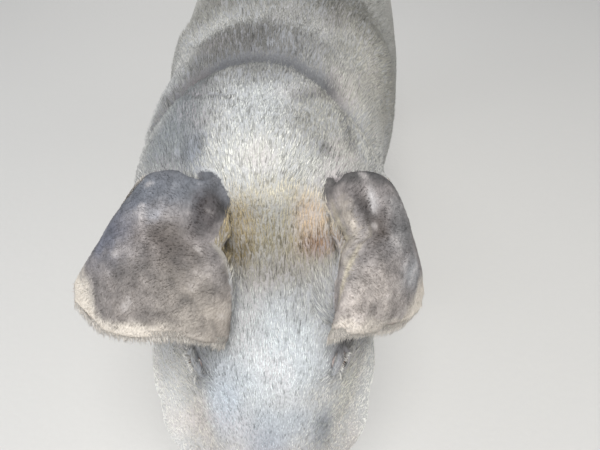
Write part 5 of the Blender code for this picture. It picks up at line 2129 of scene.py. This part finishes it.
@dataclass
class Claws:
    """The claws and dewclaws of all four feet."""

    flesh: Flesh
    cleft: float = 0.004
    half_width: float = 0.0165
    rows: Rows = (
        (0.0000, 0.0140, 0.0300, -0.0060),
        (0.0030, 0.0156, 0.0320, -0.0060),
        (0.0200, 0.0158, 0.0310, -0.0030),
        (0.0400, 0.0160, 0.0290, 0.0010),
        (0.0500, 0.0150, 0.0265, 0.0020),
    )

    def claw(self, side: int) -> Mesh:
        """Makes one claw with its toe pointed.

        Args:
            side: Where its outer wall is.

        Returns:
            The closed mesh.
        """
        rings = []
        for z, width, length, y0 in eased_rows(self.rows, 26):
            turn = np.arange(44) / 44 * 2 * math.pi
            c, s = np.cos(turn), np.sin(turn)
            toe = np.clip(-s, 0, 1)
            ridge = 1 + 0.008 * math.sin(z * 1500)
            x = width * ridge * np.sign(c) * np.abs(c) ** 0.85 * (1 - 0.42 * toe**1.6)
            y = length * ridge * np.sign(s) * np.abs(s) ** 0.9 + y0
            rings.append(np.stack([x - side * 0.0045 * toe, y, np.full(44, z)], axis=1))
        return loft(rings)

    @staticmethod
    def dewclaw(x: float, y: float, side: int) -> Mesh:
        """Makes a small claw behind the foot.

        Args:
            x: The foot's middle.
            y: The foot's middle.
            side: Where it points out to.

        Returns:
            The closed mesh.
        """
        start = Vector((x + side * 0.018, y + 0.020, 0.092))
        way = Vector((side * 0.35, 0.80, -0.62)).normalized()
        keys = (0.0, 0.014, 0.026, 0.034, 0.040, 0.042)
        at = np.linspace(0, 0.042, 16)
        radii = eased(keys, (0.0085, 0.0098, 0.0088, 0.0070, 0.0046, 0.0022), at)
        return tube([start + way * float(d) for d in at], list(radii), 22)

    def build(self) -> list[tuple[Thing, str]]:
        """Makes all claws.

        Returns:
            Each with the node that it stands for.
        """
        finish = HornFinish().material()
        made = []
        feet = ((False, "fore", self.flesh.fore_foot), (True, "hind", self.flesh.hind_foot))
        for hind, pair, foot in feet:
            for side, word in SIDES:
                x, y = side * foot[0], foot[1] - self.flesh.stride(hind, side)
                for half, place in ((1, "outer"), (-1, "inner")):
                    across = side * half
                    mesh = self.claw(across)
                    off = across * (self.cleft / 2 + self.half_width)
                    mesh.transform(Matrix.Translation((x + off, y, 0)))
                    ending = f"{pair}_{word}_{place}"
                    made.append((linked(f"horn_{ending}", mesh), f"claw_{ending}"))
                    small = self.dewclaw(x, y, across)
                    made.append((linked(f"dewhorn_{ending}", small), f"dewclaw_{ending}"))
        for obj, _ in made:
            obj.data.materials.append(finish)
        return made


@dataclass(frozen=True)
class Studio:
    """Floor, lights and the camera that looks down on her from the front."""

    floor_colour: Triple = (0.62, 0.61, 0.59)
    eye: Triple = (0.0930, -0.9291, 1.154)
    pitch: float = 49.5
    yaw: float = -4.13
    roll: float = -0.33
    lens: float = 27.0

    def floor(self) -> Thing:
        """Makes the floor, with a faint grain."""
        mesh = mesh_of([(-9, -9, 0), (9, -9, 0), (9, 9, 0), (-9, 9, 0)], [(0, 1, 2, 3)], "floor")
        obj = linked("floor", mesh)
        made, nodes, links, shader = wired("floor")
        shader.inputs["Roughness"].default_value = 0.85
        shader.inputs["Base Color"].default_value = (*self.floor_colour, 1)
        bumped(nodes, links, ((noise_node(nodes, links, 60, 3, (1, 1, 1)), 0.001),), shader)
        mesh.materials.append(made)
        if mesh.polygons[0].normal.z < 0:
            mesh.flip_normals()
        return obj

    @staticmethod
    def light(
        name: str, place: Triple, aim: Triple, size: float, power: float, colour: Triple
    ) -> None:
        """Hangs one soft light.

        Args:
            name: Its name.
            place: Where it hangs.
            aim: What it points at.
            size: Its width.
            power: In watts.
            colour: Its colour.
        """
        lamp = bpy.data.lights.new(name, "AREA")
        lamp.shape = "DISK"
        lamp.size = size
        lamp.energy = power
        lamp.color = colour
        obj = bpy.data.objects.new(name, lamp)
        obj.location = place
        obj.rotation_euler = (Vector(aim) - Vector(place)).to_track_quat("-Z", "Y").to_euler()
        bpy.context.scene.collection.objects.link(obj)

    def camera(self) -> None:
        """Sets the camera."""
        pitch, yaw = math.radians(self.pitch), math.radians(self.yaw)
        level = math.cos(pitch)
        aim = Vector((math.sin(yaw) * level, math.cos(yaw) * level, -math.sin(pitch)))
        lens = bpy.data.cameras.new("camera")
        lens.lens = self.lens
        lens.sensor_width = 36
        lens.clip_start = 0.02
        obj = bpy.data.objects.new("camera", lens)
        obj.location = self.eye
        turn = aim.to_track_quat("-Z", "Y").to_matrix() @ Matrix.Rotation(math.radians(self.roll), 3, "Z")
        obj.rotation_euler = turn.to_euler()
        bpy.context.scene.collection.objects.link(obj)
        bpy.context.scene.camera = obj

    def build(self) -> Thing:
        """Sets up the studio.

        Returns:
            The floor.
        """
        world = bpy.data.worlds.new("studio")
        world.use_nodes = True
        sky = world.node_tree.nodes["Background"]
        sky.inputs["Color"].default_value = (0.86, 0.90, 0.96, 1)
        sky.inputs["Strength"].default_value = 0.42
        bpy.context.scene.world = world
        self.light("overhead", (0.15, -1.15, 3.0), (0, -0.60, 0.6), 1.4, 56, (1.0, 0.99, 0.965))
        self.light("front_fill", (-0.1, -3.2, 1.5), (0, -0.55, 0.5), 2.2, 31, (1.0, 0.99, 0.97))
        self.light("left_fill", (-3.4, -1.4, 2.2), (0, 0, 0.5), 2.6, 44, (0.95, 0.97, 1.0))
        self.light("right_fill", (3.4, 0.6, 2.4), (0, 0, 0.5), 2.6, 30, (1.0, 0.97, 0.93))
        self.light("rear_fill", (-1.2, 3.6, 2.2), (0, 0.4, 0.5), 2.6, 34, (1.0, 0.98, 0.95))
        bpy.context.scene.view_settings.view_transform = "Standard"
        self.camera()
        return self.floor()


def place_piece(obj: Thing, nodes: Sequence[str]) -> None:
    """Moves a finished piece to its place, and says what it rides on and stands for.

    Args:
        obj: The piece.
        nodes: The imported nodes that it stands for.
    """
    if obj.matrix_world == Matrix.Identity(4):
        obj.data.transform(Matrix.Translation(-MIDDLE))
    else:
        obj.matrix_world = Matrix.Translation(-MIDDLE) @ obj.matrix_world
    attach(obj, BODY)
    if nodes:
        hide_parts(*nodes)
    LOG.info("%s: %d faces", obj.name, len(obj.data.polygons))


def main() -> None:
    """Builds the animal and her studio."""
    logging.basicConfig(level=logging.INFO, format="%(message)s")
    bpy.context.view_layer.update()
    flesh = Flesh()
    skin = flesh.build()
    coat = Coat(skin, flesh)
    pieces = coat.build()
    points = read_points(skin.data)
    ear, on = coat.ear_measures(points)
    set_colours(skin.data, MARKINGS.skin(points, coat.regions(points, on), ear))
    skin.data.materials.clear()
    skin.data.materials.append(HideFinish().material())
    shade_smooth(skin.data)
    skin.data.polygons.foreach_set("material_index", np.zeros(len(skin.data.polygons), np.int32))
    pairs = [f"{part}_{word}" for part in ("foreleg", "hindleg", "ear") for _, word in SIDES]
    place_piece(skin, ["head", "neck", "torso", "tail", *pairs])
    for obj in pieces:
        place_piece(obj, ())
    for obj, node in Eyes(flesh).build():
        shade_smooth(obj.data)
        place_piece(obj, (node,))
    for obj, node in Claws(flesh).build():
        shade_smooth(obj.data)
        place_piece(obj, (node,))
    Studio().build()


if __name__ == "__main__":
    main()
